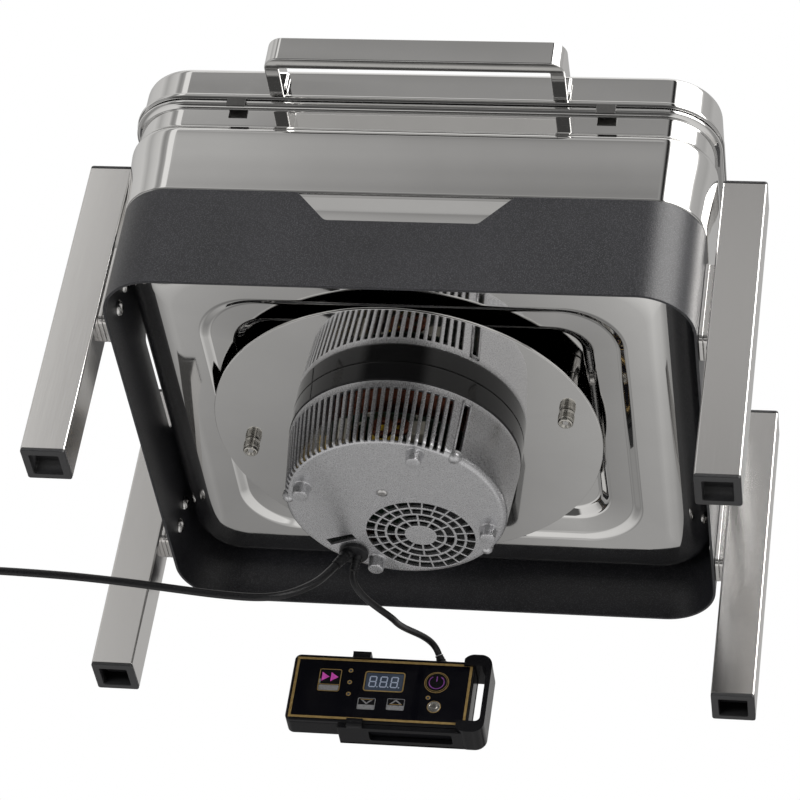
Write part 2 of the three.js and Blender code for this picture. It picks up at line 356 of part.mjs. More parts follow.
// ---------------------------------------------------------------- control box in its cradle
{
  const { x0, x1, z0, z1, y0, y1, r } = CASE, split = y0 + 3.2;
  const whole = (d, a, b) => roundedPlateY(x0 + d, x1 - d, z0 + d, z1 - d, a, b, r - d * 0.8, 4);
  let rear = cut(join(whole(0, split + 0.1, y1 - 1.6), whole(1.4, split + 0.1, y1)), whole(2, split - 1, y1 - 2.2));
  rear = cut(rear, rod([2.3, y1 - 10, z1 - 4], [2.3, y1 - 10, z1 + 4], 4.2, 4.2, 16));
  add("controller_rear_case", rear, CASE_BLACK);
  const keys = {
    button_boost: [-90.3, -72.3, 31.2, 52.2, 2], button_down: [-57.2, -42.7, 16.2, 27.4, 1.4], button_up: [-34.5, -20, 16.8, 28, 1.4] };
  let face = whole(0, y0, split - 0.1);
  face = cut(face, whole(2, y0 + 2, split + 1));
  const show = [-53.6, -23.9, 34.4, 50.8];
  face = cut(face, roundedPlateY(show[0], show[1], show[2], show[3], y0 - 1, y0 + 4, 1.5, 2));
  for (const [name, [a, b, c, d, q]] of Object.entries(keys)) {
    face = cut(face, roundedPlateY(a, b, c, d, y0 - 1, y0 + 4, q, 3));
    add(name, join(roundedPlateY(a + 0.35, b - 0.35, c + 0.35, d - 0.35, y0 - 0.35, y0 + 2.4, q - 0.3, 3),
      box((a + b) / 2 - 2, (a + b) / 2 + 2, y0 + 2.3, y0 + 7.9, (c + d) / 2 - 2, (c + d) / 2 + 2)), KEY);
  }
  const power = [1.8, 44.3, 9];
  face = cut(face, rod([power[0], y0 - 1, power[1]], [power[0], y0 + 4, power[1]], power[2], power[2], 32), rod([2.4, y0 - 1, 22.2], [2.4, y0 + 4, 22.2], 4.3, 4.3, 20));
  add("button_power", join(rod([power[0], y0 - 0.35, power[1]], [power[0], y0 + 2.4, power[1]], power[2] - 0.35, power[2] - 0.35, 32),
    rod([power[0], y0 + 2.3, power[1]], [power[0], y0 + 7.9, power[1]], 2, 2, 12)), KEY);
  add("power_lamp", join(rod([2.4, y0 - 0.8, 22.2], [2.4, y0 - 0.15, 22.2], 4.4, 4.9, 24), rod([2.4, y0 - 0.2, 22.2], [2.4, y0 + 5, 22.2], 4, 4, 20)), NICKEL);
  add("controller_front_case", face, CASE_BLACK);
  add("display_window", roundedPlateY(show[0] + 0.2, show[1] - 0.2, show[2] + 0.2, show[3] - 0.2, y0 + 0.25, y0 + 2.4, 1.3, 2), DISPLAY);
  add("controller_board", box(x0 + 8, x1 - 8, y0 + 9.2, y0 + 10.8, z0 + 6, z1 - 6), BOARD_GREEN);
  add("controller_strain_relief", join(rod([2.3, y1 - 10, z1 - 6], [2.3, y1 - 10, z1 + 1], 3.9, 3.9, 16), rod([2.3, y1 - 10, z1 + 0.4], [2.3, y1 - 10, z1 + 2], 4.9, 4.9, 16), rod([2.3, y1 - 10, z1 + 1.7], [1.7, 195.9, z1 + 3.5], 4.1, 4, 16), rod([1.75, 196, z1 + 2.7], [-0.52, 191.95, 72.56], 4, 3.1, 16)), RUBBER);

  const g = GAP, back = y1 + g, end = 43, front = y0 - 2.6;
  let cradle = join(
    box(-70, 30, back, back + 3, 0, 62), // back plate
    box(-70, 30, y0 + 1, back + 3, 0, z0 - g)); // floor
  const rib = (n) => rounded((end - 20) / 2, 35, 9, 5, (end + 20) / 2, 35).slice(0, n);
  let loop = prismY(rib(), front, back + 3);
  loop = cut(loop, prismY(rounded((end - 4 - (x1 - 12)) / 2, 25, 4, 4, (end - 4 + x1 - 12) / 2, 35), front - 1, back + 4));
  loop = cut(loop, box(-60, x1 + g, y0 - g, back, z0 - g, z1 + g));
  loop = cut(loop, box(-60, x1 + g - 9, front - 1, y0 + 0.5, 0 - 1, 80));
  cradle = join(cradle, loop);
  cradle = join(cradle, box(-66, -52, y0 - 2.4, back + 3, z1 + g, z1 + 3), box(-66, -52, y0 - 2.4, y0 - g, z1 - 2.4, z1 + 0.5), box(-66, -52, back, back + 3, 55, z1 + 1));
  cradle = join(cradle, box(-63, -50, y0 - 2.4, y0 + 1.5, 0, z0 - g), box(-63, -50, y0 - 2.4, y0 - g, 0, z0 + 2.6));
  cradle = cut(cradle, box(-46, 24, y0 + 5, back - 3, -1, z0 + 1), box(-40, 18, back - 1, back + 5, 14, 50));
  add("controller_cradle", cradle, CASE_BLACK);
}

// ---------------------------------------------------------------- leads, coil and plug
add("controller_lead", cord([
  [-49.28, 63.56, 58.42], [-49.27, 65.64, 54.06], [-47.86, 68.61, 50.64], [-45.38, 72.44, 48.14], [-42.13, 77.1, 46.52], [-38.42, 82.54, 45.77], [-34.57, 88.74, 45.87], [-30.88, 95.67, 46.78],
  [-27.68, 103.29, 48.49], [-25.27, 111.57, 50.96], [-23.97, 120.48, 54.19], [-22.83, 131.44, 58.67], [-21.08, 141.49, 63.08], [-18.85, 150.68, 67.23], [-16.28, 158.99, 70.93], [-13.48, 166.46, 73.98],
  [-10.59, 173.11, 76.2], [-7.74, 178.93, 77.39], [-5.04, 183.97, 77.36], [-2.64, 188.22, 75.91], [-0.65, 191.71, 72.86]], LEAD_D, 8, 24), RUBBER);
add("mains_lead", cord([
  [-60.15, 48.35, 52.25], [-63.4, 45, 44], [-68.6, 39.8, 32.5], [-75.6, 34, 22], [-84.6, 28.8, 12.8], [-95, 25, 6.6], [-106, 23, 3.9], [-118, 22, 3.1],
  [-140, 20, 3.05], [-170, 15.5, 3.05], [-205, 10, 3.05], [-240, 6, 3.05], [-270, 4, 3.05], [-300, 3, 3.05], [-328.5, 3, 3.05]], MAINS_D, 8, 22), RUBBER);
add("mains_coil", turn([[COIL.inner, COIL.z0], [COIL.outer - 2, COIL.z0], [COIL.outer, COIL.z0 + 2], [COIL.outer, COIL.z1 - 2], [COIL.outer - 2, COIL.z1], [COIL.inner, COIL.z1], [COIL.inner, COIL.z0]], 28, COIL.x, COIL.y), RUBBER);
{
  const x = -389, z = 12.6, y = 85.5;
  let plug = join(rod([x, y - 4, z - 1.2], [x, y + 26, z], 3.4, 6.4, 16), prismY(rounded(13, 12.4, 5, 4, x, z), y + 25, y + 62), prismY(rounded(15, 12.4, 6, 4, x, z), y + 60, y + 66));
  plug = join(plug, box(x - 7.2, x - 5.6, y + 65.8, y + 82, z - 1.2, z + 5.1), box(x + 5.6, x + 7.2, y + 65.8, y + 82, z - 1.2, z + 5.1), rod([x, y + 65.8, z - 6], [x, y + 85, z - 6], 2.4, 2.2, 12));
  add("mains_plug", plug, RUBBER);
}

export default root;
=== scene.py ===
import math
import random

import bmesh
import bpy
import numpy as np
from mathutils import Matrix, Vector, geometry


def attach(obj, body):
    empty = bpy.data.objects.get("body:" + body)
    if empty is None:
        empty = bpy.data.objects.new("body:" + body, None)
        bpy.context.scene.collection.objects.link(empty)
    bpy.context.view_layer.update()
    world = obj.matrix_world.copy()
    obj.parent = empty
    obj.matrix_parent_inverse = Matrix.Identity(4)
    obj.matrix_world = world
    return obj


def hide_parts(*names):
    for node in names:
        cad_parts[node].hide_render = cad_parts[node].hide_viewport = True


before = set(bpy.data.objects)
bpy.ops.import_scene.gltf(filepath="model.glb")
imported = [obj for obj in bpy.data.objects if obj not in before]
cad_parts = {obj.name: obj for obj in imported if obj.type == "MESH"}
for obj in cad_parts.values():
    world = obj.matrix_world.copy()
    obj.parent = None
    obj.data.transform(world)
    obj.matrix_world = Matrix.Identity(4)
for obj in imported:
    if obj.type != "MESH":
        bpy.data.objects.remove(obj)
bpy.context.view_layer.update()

scene = bpy.context.scene
OY = 12.5          # the legs' centre stands this far along +Y, in mm
CX = -12.0         # burner axis
random.seed(7)


def W(p):
    """A point in mm about the legs' centre, in metres in the row frame."""
    return (p[0] / 1000, (p[1] + OY) / 1000, p[2] / 1000)


# ------------------------------------------------------------------ camera
cam_data = bpy.data.cameras.new("camera")
cam_data.lens, cam_data.sensor_width, cam_data.clip_start, cam_data.clip_end = 152.964, 36, 0.05, 30
camera = bpy.data.objects.new("camera", cam_data)
scene.collection.objects.link(camera)
right = Vector((0.9844217772, 0.1147451614, 0.1332190395))
down = Vector((0.0345542224, 0.6166518586, -0.7864772667))
forward = Vector((-0.1723942292, 0.7788286289, 0.6030805887))
m = Matrix.Identity(4)
for k, v in enumerate((right, -down, -forward)):
    for r in range(3):
        m[r][k] = v[r]
m.translation = W((415.19894, -1975.82681, -1358.32719))
camera.matrix_world = m
scene.camera = camera
scene.view_settings.view_transform = "Standard"


# ------------------------------------------------------------------ material nodes
class Nodes:
    def __init__(self, name):
        self.mat = bpy.data.materials.new(name)
        self.mat.use_nodes = True
        self.t = self.mat.node_tree
        self.t.nodes.clear()
        self.out = self.t.nodes.new("ShaderNodeOutputMaterial")
        self.b = self.t.nodes.new("ShaderNodeBsdfPrincipled")
        self.t.links.new(self.b.outputs[0], self.out.inputs[0])
        self.tc = self.t.nodes.new("ShaderNodeTexCoord").outputs["Object"]

    def put(self, socket, value):
        s = self.b.inputs[socket]
        if hasattr(value, "is_output"):
            self.t.links.new(value, s)
        else:
            s.default_value = value
        return self

    def base(self, colour, metallic=0.0, roughness=0.5):
        self.put("Base Color", colour if hasattr(colour, "is_output") else (*colour, 1))
        self.put("Metallic", metallic)
        return self.put("Roughness", roughness)

    def set(self, node, key, value):
        s = node.inputs[key]
        if hasattr(value, "is_output"):
            self.t.links.new(value, s)
        else:
            s.default_value = value

    def scaled(self, x, y, z):
        n = self.t.nodes.new("ShaderNodeVectorMath")
        n.operation = "MULTIPLY"
        self.t.links.new(self.tc, n.inputs[0])
        n.inputs[1].default_value = (x, y, z)
        return n.outputs[0]

    def noise(self, scale, detail=3.0, rough=0.5, at=None, distortion=0.0):
        n = self.t.nodes.new("ShaderNodeTexNoise")
        self.t.links.new(at or self.tc, n.inputs["Vector"])
        n.inputs["Scale"].default_value, n.inputs["Detail"].default_value = scale, detail
        n.inputs["Roughness"].default_value, n.inputs["Distortion"].default_value = rough, distortion
        return n.outputs["Fac"]

    def cells(self, scale, at=None, out="Distance"):
        n = self.t.nodes.new("ShaderNodeTexVoronoi")
        self.t.links.new(at or self.tc, n.inputs["Vector"])
        n.inputs["Scale"].default_value = scale
        return n.outputs[out]

    def waves(self, scale, direction="Z", distortion=0.0, at=None):
        n = self.t.nodes.new("ShaderNodeTexWave")
        n.wave_type, n.bands_direction = "BANDS", direction
        self.t.links.new(at or self.tc, n.inputs["Vector"])
        n.inputs["Scale"].default_value, n.inputs["Distortion"].default_value = scale, distortion
        return n.outputs["Fac"]

    def ramp(self, value, *stops):
        n = self.t.nodes.new("ShaderNodeValToRGB")
        self.t.links.new(value, n.inputs[0])
        e = n.color_ramp.elements
        while len(e) < len(stops):
            e.new(0.5)
        for k, (at, colour) in enumerate(stops):
            e[k].position = at
            e[k].color = (*colour, 1) if hasattr(colour, "__len__") else (colour, colour, colour, 1)
        return n.outputs["Color"]

    def span(self, value, a, b, lo, hi):
        n = self.t.nodes.new("ShaderNodeMapRange")
        self.t.links.new(value, n.inputs[0])
        for k, x in zip((1, 2, 3, 4), (a, b, lo, hi)):
            n.inputs[k].default_value = x
        return n.outputs[0]

    def math(self, op, a, b=0.0):
        n = self.t.nodes.new("ShaderNodeMath")
        n.operation = op
        self.set(n, 0, a)
        self.set(n, 1, b)
        return n.outputs[0]

    def mix(self, fac, a, b):
        n = self.t.nodes.new("ShaderNodeMix")
        n.data_type = "RGBA"
        self.set(n, 0, fac)
        for k, v in ((6, a), (7, b)):
            self.set(n, k, v if hasattr(v, "is_output") else (*v, 1))
        return n.outputs[2]

    def bump(self, height, distance, strength=1.0):
        n = self.t.nodes.new("ShaderNodeBump")
        n.inputs["Strength"].default_value, n.inputs["Distance"].default_value = strength, distance
        self.t.links.new(height, n.inputs["Height"])
        self.t.links.new(n.outputs[0], self.b.inputs["Normal"])
        return self


def mirror_steel():
    n = Nodes("mirror_steel")
    haze = n.noise(9, 4, 0.6)
    streak = n.noise(3, 3, 0.6, n.scaled(14, 140, 14))
    n.base(n.ramp(haze, (0.3, (0.80, 0.795, 0.785)), (0.7, (0.86, 0.855, 0.845))), 1.0,
           n.math("ADD", n.span(haze, 0.35, 0.75, 0.025, 0.055), n.span(streak, 0.4, 0.8, 0.0, 0.03)))
    return n.bump(n.noise(11, 1, 0.4), 0.00022, 0.5).mat


def leg_steel():
    n = Nodes("polished_leg_steel")
    brush = n.noise(9, 4, 0.65, n.scaled(230, 230, 3))
    n.base(n.ramp(brush, (0.25, (0.825, 0.81, 0.795)), (0.75, (0.865, 0.852, 0.838))), 1.0, n.span(brush, 0.3, 0.75, 0.13, 0.19))
    return n.bump(n.noise(7, 3, 0.6, n.scaled(260, 260, 4)), 0.000008, 0.2).mat


def satin_steel():
    n = Nodes("satin_steel")
    brush = n.noise(6, 4, 0.6, n.scaled(12, 300, 300))
    n.base(n.ramp(brush, (0.25, (0.66, 0.655, 0.65)), (0.75, (0.78, 0.775, 0.77))), 1.0, n.span(brush, 0.3, 0.75, 0.12, 0.26))
    return n.bump(brush, 0.00003, 0.3).mat


def powder_coat():
    n = Nodes("black_powder_coat")
    speck = n.cells(1100)
    grain = n.noise(900, 2, 0.6)
    tone = n.noise(14, 3, 0.55)
    dark = n.ramp(tone, (0.3, (0.011, 0.0112, 0.0135)), (0.7, (0.017, 0.0172, 0.0205)))
    n.base(n.mix(n.ramp(speck, (0.12, 1), (0.42, 0)), dark, (0.075, 0.075, 0.082)), 0.0, n.span(grain, 0.3, 0.7, 0.30, 0.44))
    n.put("Specular IOR Level", 0.6)
    return n.bump(n.math("ADD", grain, n.math("MULTIPLY", speck, 0.7)), 0.00012, 0.5).mat


def cap_plastic():
    n = Nodes("cap_plastic")
    grain = n.noise(1100, 2, 0.6)
    n.base(n.ramp(grain, (0.3, (0.022, 0.022, 0.023)), (0.7, (0.038, 0.038, 0.04))), 0.0, n.span(grain, 0.3, 0.7, 0.34, 0.5))
    return n.bump(grain, 0.00006, 0.4).mat


def fastener():
    n = Nodes("bright_fastener")
    s = n.noise(160, 3, 0.6)
    n.base(n.ramp(s, (0.3, (0.62, 0.61, 0.60)), (0.7, (0.80, 0.79, 0.78))), 1.0, n.span(s, 0.3, 0.7, 0.1, 0.24))
    return n.bump(n.noise(420, 2, 0.5), 0.00003, 0.3).mat


def nickel():
    n = Nodes("nickel")
    s = n.noise(220, 3, 0.6)
    n.base(n.ramp(s, (0.3, (0.52, 0.50, 0.46)), (0.7, (0.72, 0.70, 0.65))), 1.0, n.span(s, 0.3, 0.7, 0.16, 0.3))
    return n.bump(n.noise(600, 2, 0.5), 0.00003, 0.3).mat


def silver_paint():
    n = Nodes("silver_metallic_plastic")
    flake = n.cells(2600, out="Color")
    sep = n.t.nodes.new("ShaderNodeSeparateColor")
    n.t.links.new(flake, sep.inputs[0])
    f = sep.outputs[0]
    tone = n.noise(22, 2, 0.5)
    a = n.ramp(f, (0.0, (0.47, 0.47, 0.485)), (1.0, (0.76, 0.76, 0.775)))
    n.base(n.mix(n.span(tone, 0.3, 0.7, 0.0, 0.25), a, (0.62, 0.62, 0.635)), 0.9, n.span(f, 0.0, 1.0, 0.24, 0.38))
    n.put("Coat Weight", 0.15).put("Coat Roughness", 0.14)
    return n.bump(n.noise(1500, 2, 0.6), 0.00004, 0.35).mat


def gloss_black():
    n = Nodes("gloss_black")
    dust = n.noise(60, 4, 0.7)
    n.base(n.ramp(dust, (0.3, (0.0035, 0.0035, 0.004)), (0.8, (0.007, 0.007, 0.0075))), 0.0, n.span(dust, 0.4, 0.8, 0.05, 0.13))
    n.put("Specular IOR Level", 0.5).put("Coat Weight", 0.25).put("Coat Roughness", 0.04)
    return n.bump(n.noise(40, 2, 0.5), 0.00004, 0.2).mat


def case_plastic():
    n = Nodes("black_case_plastic")
    g = n.noise(1300, 2, 0.6)
    n.base(n.ramp(g, (0.3, (0.004, 0.004, 0.005)), (0.7, (0.009, 0.009, 0.010))), 0.0, n.span(g, 0.3, 0.7, 0.16, 0.28))
    n.put("Specular IOR Level", 0.35)
    return n.bump(g, 0.00005, 0.35).mat


def face_film():
    n = Nodes("gloss_face_film")
    g = n.noise(45, 3, 0.6)
    n.base(n.ramp(g, (0.3, (0.002, 0.002, 0.004)), (0.7, (0.004, 0.004, 0.006))), 0.0, n.span(g, 0.3, 0.7, 0.08, 0.17))
    n.put("Specular IOR Level", 0.3)
    return n.bump(n.noise(300, 2, 0.5), 0.00002, 0.2).mat


def rubber():
    n = Nodes("black_rubber")
    g = n.noise(700, 3, 0.6)
    n.base(n.ramp(g, (0.3, (0.006, 0.006, 0.007)), (0.7, (0.012, 0.012, 0.013))), 0.0, n.span(g, 0.3, 0.7, 0.26, 0.4))
    n.put("Specular IOR Level", 0.4)
    return n.bump(g, 0.00004, 0.3).mat


def moulding():
    n = Nodes("black_moulding")
    g = n.noise(500, 2, 0.6)
    n.base(n.ramp(g, (0.3, (0.010, 0.010, 0.011)), (0.7, (0.022, 0.022, 0.024))), 0.0, n.span(g, 0.3, 0.7, 0.38, 0.55))
    return n.bump(g, 0.00004, 0.3).mat


def grey_rubber():
    n = Nodes("bumper_rubber")
    g = n.noise(800, 3, 0.6)
    n.base(n.ramp(g, (0.3, (0.035, 0.034, 0.033)), (0.7, (0.06, 0.059, 0.057))), 0.0, n.span(g, 0.3, 0.7, 0.3, 0.45))
    return n.bump(g, 0.00005, 0.3).mat


def copper():
    n = Nodes("copper_winding")
    w = n.noise(260, 3, 0.6)
    # base colour held far darker than bare copper: painted shade for the dark inside of the burner, where the coil and
    # the board's windings sit
    n.base(n.ramp(w, (0.3, (0.13, 0.045, 0.028)), (0.7, (0.32, 0.13, 0.085))), 1.0, n.span(w, 0.3, 0.7, 0.2, 0.42))
    return n.bump(w, 0.00008, 0.4).mat


def board():
    n = Nodes("circuit_board")
    c = n.cells(260, out="Color")
    sep = n.t.nodes.new("ShaderNodeSeparateColor")
    n.t.links.new(c, sep.inputs[0])
    tracks = n.ramp(n.cells(170), (0.04, (0.045, 0.09, 0.045)), (0.09, (0.012, 0.030, 0.017)))
    n.base(n.mix(n.ramp(sep.outputs[0], (0.90, 0), (0.93, 1)), tracks, (0.52, 0.50, 0.44)), 0.0, n.span(sep.outputs[1], 0, 1, 0.3, 0.5))
    return n.bump(n.cells(260), 0.0001, 0.4).mat


def enamel(name, lo, hi, metallic=0.0, r0=0.25, r1=0.4, scale=420):
    n = Nodes(name)
    g = n.noise(scale, 3, 0.6)
    n.base(n.ramp(g, (0.3, lo), (0.7, hi)), metallic, n.span(g, 0.3, 0.7, r0, r1))
    return n.bump(g, 0.00002, 0.25).mat


MIRROR, LEG, SATIN, POWDER, CAP = mirror_steel(), leg_steel(), satin_steel(), powder_coat(), cap_plastic()
BOLT, NICKEL, SILVER, GLOSS, CASE = fastener(), nickel(), silver_paint(), gloss_black(), case_plastic()
FILM, RUBBER, MOULD, BUMPER, COPPER, BOARD = face_film(), rubber(), moulding(), grey_rubber(), copper(), board()
GOLD = enamel("gold_print", (0.44, 0.29, 0.10), (0.60, 0.42, 0.17), 0.55, 0.28, 0.42)
SILVER_INK = enamel("silver_print", (0.30, 0.30, 0.31), (0.52, 0.52, 0.53), 0.5, 0.25, 0.5, 900)
MAGENTA = enamel("magenta_print", (0.62, 0.07, 0.45), (0.78, 0.12, 0.58))
VIOLET = enamel("violet_print", (0.20, 0.05, 0.26), (0.30, 0.09, 0.38))
LENS = enamel("display_lens", (0.045, 0.060, 0.090), (0.065, 0.085, 0.12), 0.0, 0.08, 0.14, 90)
SEGMENT = enamel("display_segment", (0.36, 0.42, 0.55), (0.47, 0.53, 0.66), 0.0, 0.3, 0.45)
BRASS = enamel("plug_brass", (0.62, 0.45, 0.18), (0.76, 0.58, 0.27), 1.0, 0.18, 0.32, 260)
YELLOW = enamel("transformer_tape", (0.62, 0.40, 0.03), (0.78, 0.52, 0.06), 0.0, 0.3, 0.45)
ALUMINIUM = enamel("heat_sink", (0.50, 0.51, 0.52), (0.66, 0.67, 0.68), 1.0, 0.25, 0.4, 200)
CREAM = enamel("connector_plastic", (0.60, 0.57, 0.48), (0.72, 0.69, 0.60))


# ------------------------------------------------------------------ mesh making, in mm
class Build:
    def __init__(self):
        self.v, self.f, self.m = [], [], []

    def add(self, v, f, mi=0):
        o = len(self.v)
        self.v += [tuple(float(c) for c in p) for p in v]
        self.f += [tuple(int(i) + o for i in q) for q in f]
        self.m += [mi] * len(f)
        return self

    def loft(self, loops, ends=True, ring=False, mi=0):
        n, v, f = len(loops[0]), [p for l in loops for p in l], []
        count = len(loops) if ring else len(loops) - 1
        for k in range(count):
            a, b = k * n, ((k + 1) % len(loops)) * n
            for i in range(n):
                j = (i + 1) % n
                f.append((a + i, a + j, b + j, b + i))
        if ends and not ring:
            f.append(tuple(range(n))[::-1])
            f.append(tuple(range((len(loops) - 1) * n, len(loops) * n)))
        return self.add(v, f, mi)

    def lathe(self, profile, n, x=0.0, y=0.0, axis="z", at=0.0, ring=False, mi=0):
        """Profile of (radius, height). axis z: centre (x, y). axis y: centre (x, z) and height runs along y. axis x: centre (y, z)."""
        v, f, rows = [], [], []
        for r, h in profile:
            if r < 1e-6:
                rows.append([len(v)])
                v.append((0, 0, h))
            else:
                rows.append(list(range(len(v), len(v) + n)))
                v += [(r * math.cos(2 * math.pi * i / n), r * math.sin(2 * math.pi * i / n), h) for i in range(n)]
        pairs = list(zip(rows, rows[1:])) + ([(rows[-1], rows[0])] if ring else [])
        for a, b in pairs:
            for i in range(n):
                j = (i + 1) % n
                if len(a) == 1 and len(b) == 1:
                    continue
                if len(a) == 1:
                    f.append((a[0], b[j], b[i]))
                elif len(b) == 1:
                    f.append((a[i], a[j], b[0]))
                else:
                    f.append((a[i], a[j], b[j], b[i]))
        if axis == "z":
            v = [(p[0] + x, p[1] + y, p[2] + at) for p in v]
        elif axis == "y":
            v = [(p[0] + x, p[2] + at, p[1] + y) for p in v]
        else:
            v = [(p[2] + at, p[0] + x, p[1] + y) for p in v]
        return self.add(v, f, mi)

    def prism(self, outline, a, b, axis="z", mi=0):
        """Outline in (x, y) for z, (x, z) for y, (y, z) for x."""
        put = {"z": lambda p, h: (p[0], p[1], h), "y": lambda p, h: (p[0], h, p[1]), "x": lambda p, h: (h, p[0], p[1])}[axis]
        return self.loft([[put(p, a) for p in outline], [put(p, b) for p in outline]], mi=mi)

    def box(self, x0, x1, y0, y1, z0, z1, mi=0):
        return self.prism([(x0, y0), (x1, y0), (x1, y1), (x0, y1)], z0, z1, mi=mi)

    def tube(self, points, radii, n=16, mi=0):
        """A closed tube through points, with round section."""
        pts = [Vector(p) for p in points]
        radii = radii if hasattr(radii, "__len__") else [radii] * len(pts)
        up, loops, last = Vector((0.13, 0.27, 0.95)), [], None
        for k, p in enumerate(pts):
            t = (pts[min(k + 1, len(pts) - 1)] - pts[max(k - 1, 0)]).normalized()
            u = (last if last is not None else up) - t * t.dot(last if last is not None else up)
            u = u.normalized()
            last = u
            w = t.cross(u)
            loops.append([p + u * (radii[k] * math.cos(2 * math.pi * i / n)) + w * (radii[k] * math.sin(2 * math.pi * i / n)) for i in range(n)])
        return self.loft([[tuple(q) for q in l] for l in loops], mi=mi)

    def done(self, name, mats, body="server", slot=None, replaces=(), bevel=None, segments=3, angle=32, smooth=True, cutters=None, weighted=True, sharp=None):
        me = bpy.data.meshes.new(name)
        me.from_pydata([W(p) for p in self.v], [], self.f)
        mats = mats if hasattr(mats, "__len__") else [mats]
        for mt in mats:
            me.materials.append(mt)
        me.polygons.foreach_set("material_index", self.m)
        bm = bmesh.new()
        bm.from_mesh(me)
        bmesh.ops.remove_doubles(bm, verts=bm.verts, dist=1e-7)
        bmesh.ops.recalc_face_normals(bm, faces=bm.faces)
        bm.to_mesh(me)
        bm.free()
        me.polygons.foreach_set("use_smooth", [smooth] * len(me.polygons))
        ob = bpy.data.objects.new(name, me)
        scene.collection.objects.link(ob)
        for cutter in (cutters if isinstance(cutters, (list, tuple)) else [cutters] if cutters else []):
            tool = cutter.raw(name + "_cutter")
            mod = ob.modifiers.new("cut", "BOOLEAN")
            mod.operation, mod.object, mod.solver = "DIFFERENCE", tool, "EXACT"
            settle(ob)
            bpy.data.objects.remove(tool)
            ob.data.polygons.foreach_set("use_smooth", [smooth] * len(ob.data.polygons))
        if bevel:
            mod = ob.modifiers.new("edges", "BEVEL")
            mod.width, mod.segments, mod.limit_method, mod.angle_limit = bevel / 1000, segments, "ANGLE", math.radians(angle)
            mod.miter_outer = "MITER_ARC"
            settle(ob)
            ob.data.polygons.foreach_set("use_smooth", [smooth] * len(ob.data.polygons))
        if sharp and smooth:
            crease(ob.data, sharp)
        if weighted and smooth:
            mod = ob.modifiers.new("normals", "WEIGHTED_NORMAL")
            mod.keep_sharp, mod.weight, mod.mode = True, 50, "FACE_AREA"
        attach(ob, body)
        if replaces:
            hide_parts(*([replaces] if isinstance(replaces, str) else replaces))
        return ob

    def raw(self, name):
        me = bpy.data.meshes.new(name)
        me.from_pydata([W(p) for p in self.v], [], self.f)
        bm = bmesh.new()
        bm.from_mesh(me)
        bmesh.ops.recalc_face_normals(bm, faces=bm.faces)
        bm.to_mesh(me)
        bm.free()
        ob = bpy.data.objects.new(name, me)
        scene.collection.objects.link(ob)
        ob.hide_render = True
        return ob


def settle(ob):
    """Replace the mesh by what its modifiers make of it."""
    bpy.context.view_layer.update()
    dg = bpy.context.evaluated_depsgraph_get()
    me = bpy.data.meshes.new_from_object(ob.evaluated_get(dg))
    ob.modifiers.clear()
    old = ob.data
    ob.data = me
    bpy.data.meshes.remove(old)


def crease(me, degrees):
    bm = bmesh.new()
    bm.from_mesh(me)
    limit = math.radians(degrees)
    for e in bm.edges:
        if len(e.link_faces) == 2 and e.calc_face_angle(0) > limit:
            e.smooth = False
    bm.to_mesh(me)
    bm.free()


def rounded(hx, hy, r, n=6, cx=0.0, cy=0.0):
    out = []
    for sx, sy, start in ((1, -1, -90), (1, 1, 0), (-1, 1, 90), (-1, -1, 180)):
        for i in range(n + 1):
            a = math.radians(start + 90 * i / n)
            out.append((cx + sx * (hx - r) + r * math.cos(a), cy + sy * (hy - r) + r * math.sin(a)))
    return out


def rect(x0, x1, y0, y1, r, n=5):
    return rounded((x1 - x0) / 2, (y1 - y0) / 2, r, n, (x0 + x1) / 2, (y0 + y1) / 2)


def circle(x, y, r, n):
    return [(x + r * math.cos(2 * math.pi * i / n), y + r * math.sin(2 * math.pi * i / n)) for i in range(n)]


def fillet(points, sizes, n=4, closed=False):
    pts = [np.array(p, float) for p in points]
    out, count = [], len(pts)
    for i, p in enumerate(pts):
        r = sizes[i] if hasattr(sizes, "__len__") else sizes
        if r <= 0 or (not closed and i in (0, count - 1)):
            out.append(tuple(p))
            continue
        a, b = pts[i - 1] - p, pts[(i + 1) % count] - p
        la, lb = np.linalg.norm(a), np.linalg.norm(b)
        A, B = p + a / la * min(r, la * 0.48), p + b / lb * min(r, lb * 0.48)
        for k in range(n + 1):
            u = k / n
            out.append(tuple((1 - u) ** 2 * A + 2 * u * (1 - u) * p + u * u * B))
    return out


def rings(profile, n=16):
    """Loops of rounded rectangles from (half width, half depth, corner radius, height)."""
    return [[(x, y, z) for x, y in rounded(hx, hy, max(r, 1.0), n)] for hx, hy, r, z in profile]


HX, HY, HR = 212.0, 194.5, 38.5


def wall(d, z, keep=1.0):
    return (HX + d, HY + d, max(HR + d * keep, 10.0 if keep < 1 else 4.0), z)


def well(d, z):
    """A ring of the pan where it goes down inside the frame band."""
    return (208.5 + d, 192.5 + d, max(44.5 + d, 4.0), z)


def catmull(points, per):
    """Centripetal Catmull-Rom through points, per steps between neighbours."""
    p = [np.array(q, float) for q in points]
    p = [2 * p[0] - p[1]] + p + [2 * p[-1] - p[-2]]
    out = []
    for k in range(1, len(p) - 2):
        a, b, c, d = p[k - 1], p[k], p[k + 1], p[k + 2]
        t0, t1 = 0.0, np.linalg.norm(b - a) ** 0.5
        t2 = t1 + np.linalg.norm(c - b) ** 0.5
        t3 = t2 + np.linalg.norm(d - c) ** 0.5
        for s in range(per):
            t = t1 + (t2 - t1) * s / per
            A1 = (t1 - t) / (t1 - t0) * a + (t - t0) / (t1 - t0) * b
            A2 = (t2 - t) / (t2 - t1) * b + (t - t1) / (t2 - t1) * c
            A3 = (t3 - t) / (t3 - t2) * c + (t - t2) / (t3 - t2) * d
            B1 = (t2 - t) / (t2 - t0) * A1 + (t - t0) / (t2 - t0) * A2
            B2 = (t3 - t) / (t3 - t1) * A2 + (t - t1) / (t3 - t1) * A3
            out.append((t2 - t) / (t2 - t1) * B1 + (t - t1) / (t2 - t1) * B2)
    out.append(p[-2])
    return [tuple(float(x) for x in q) for q in out]


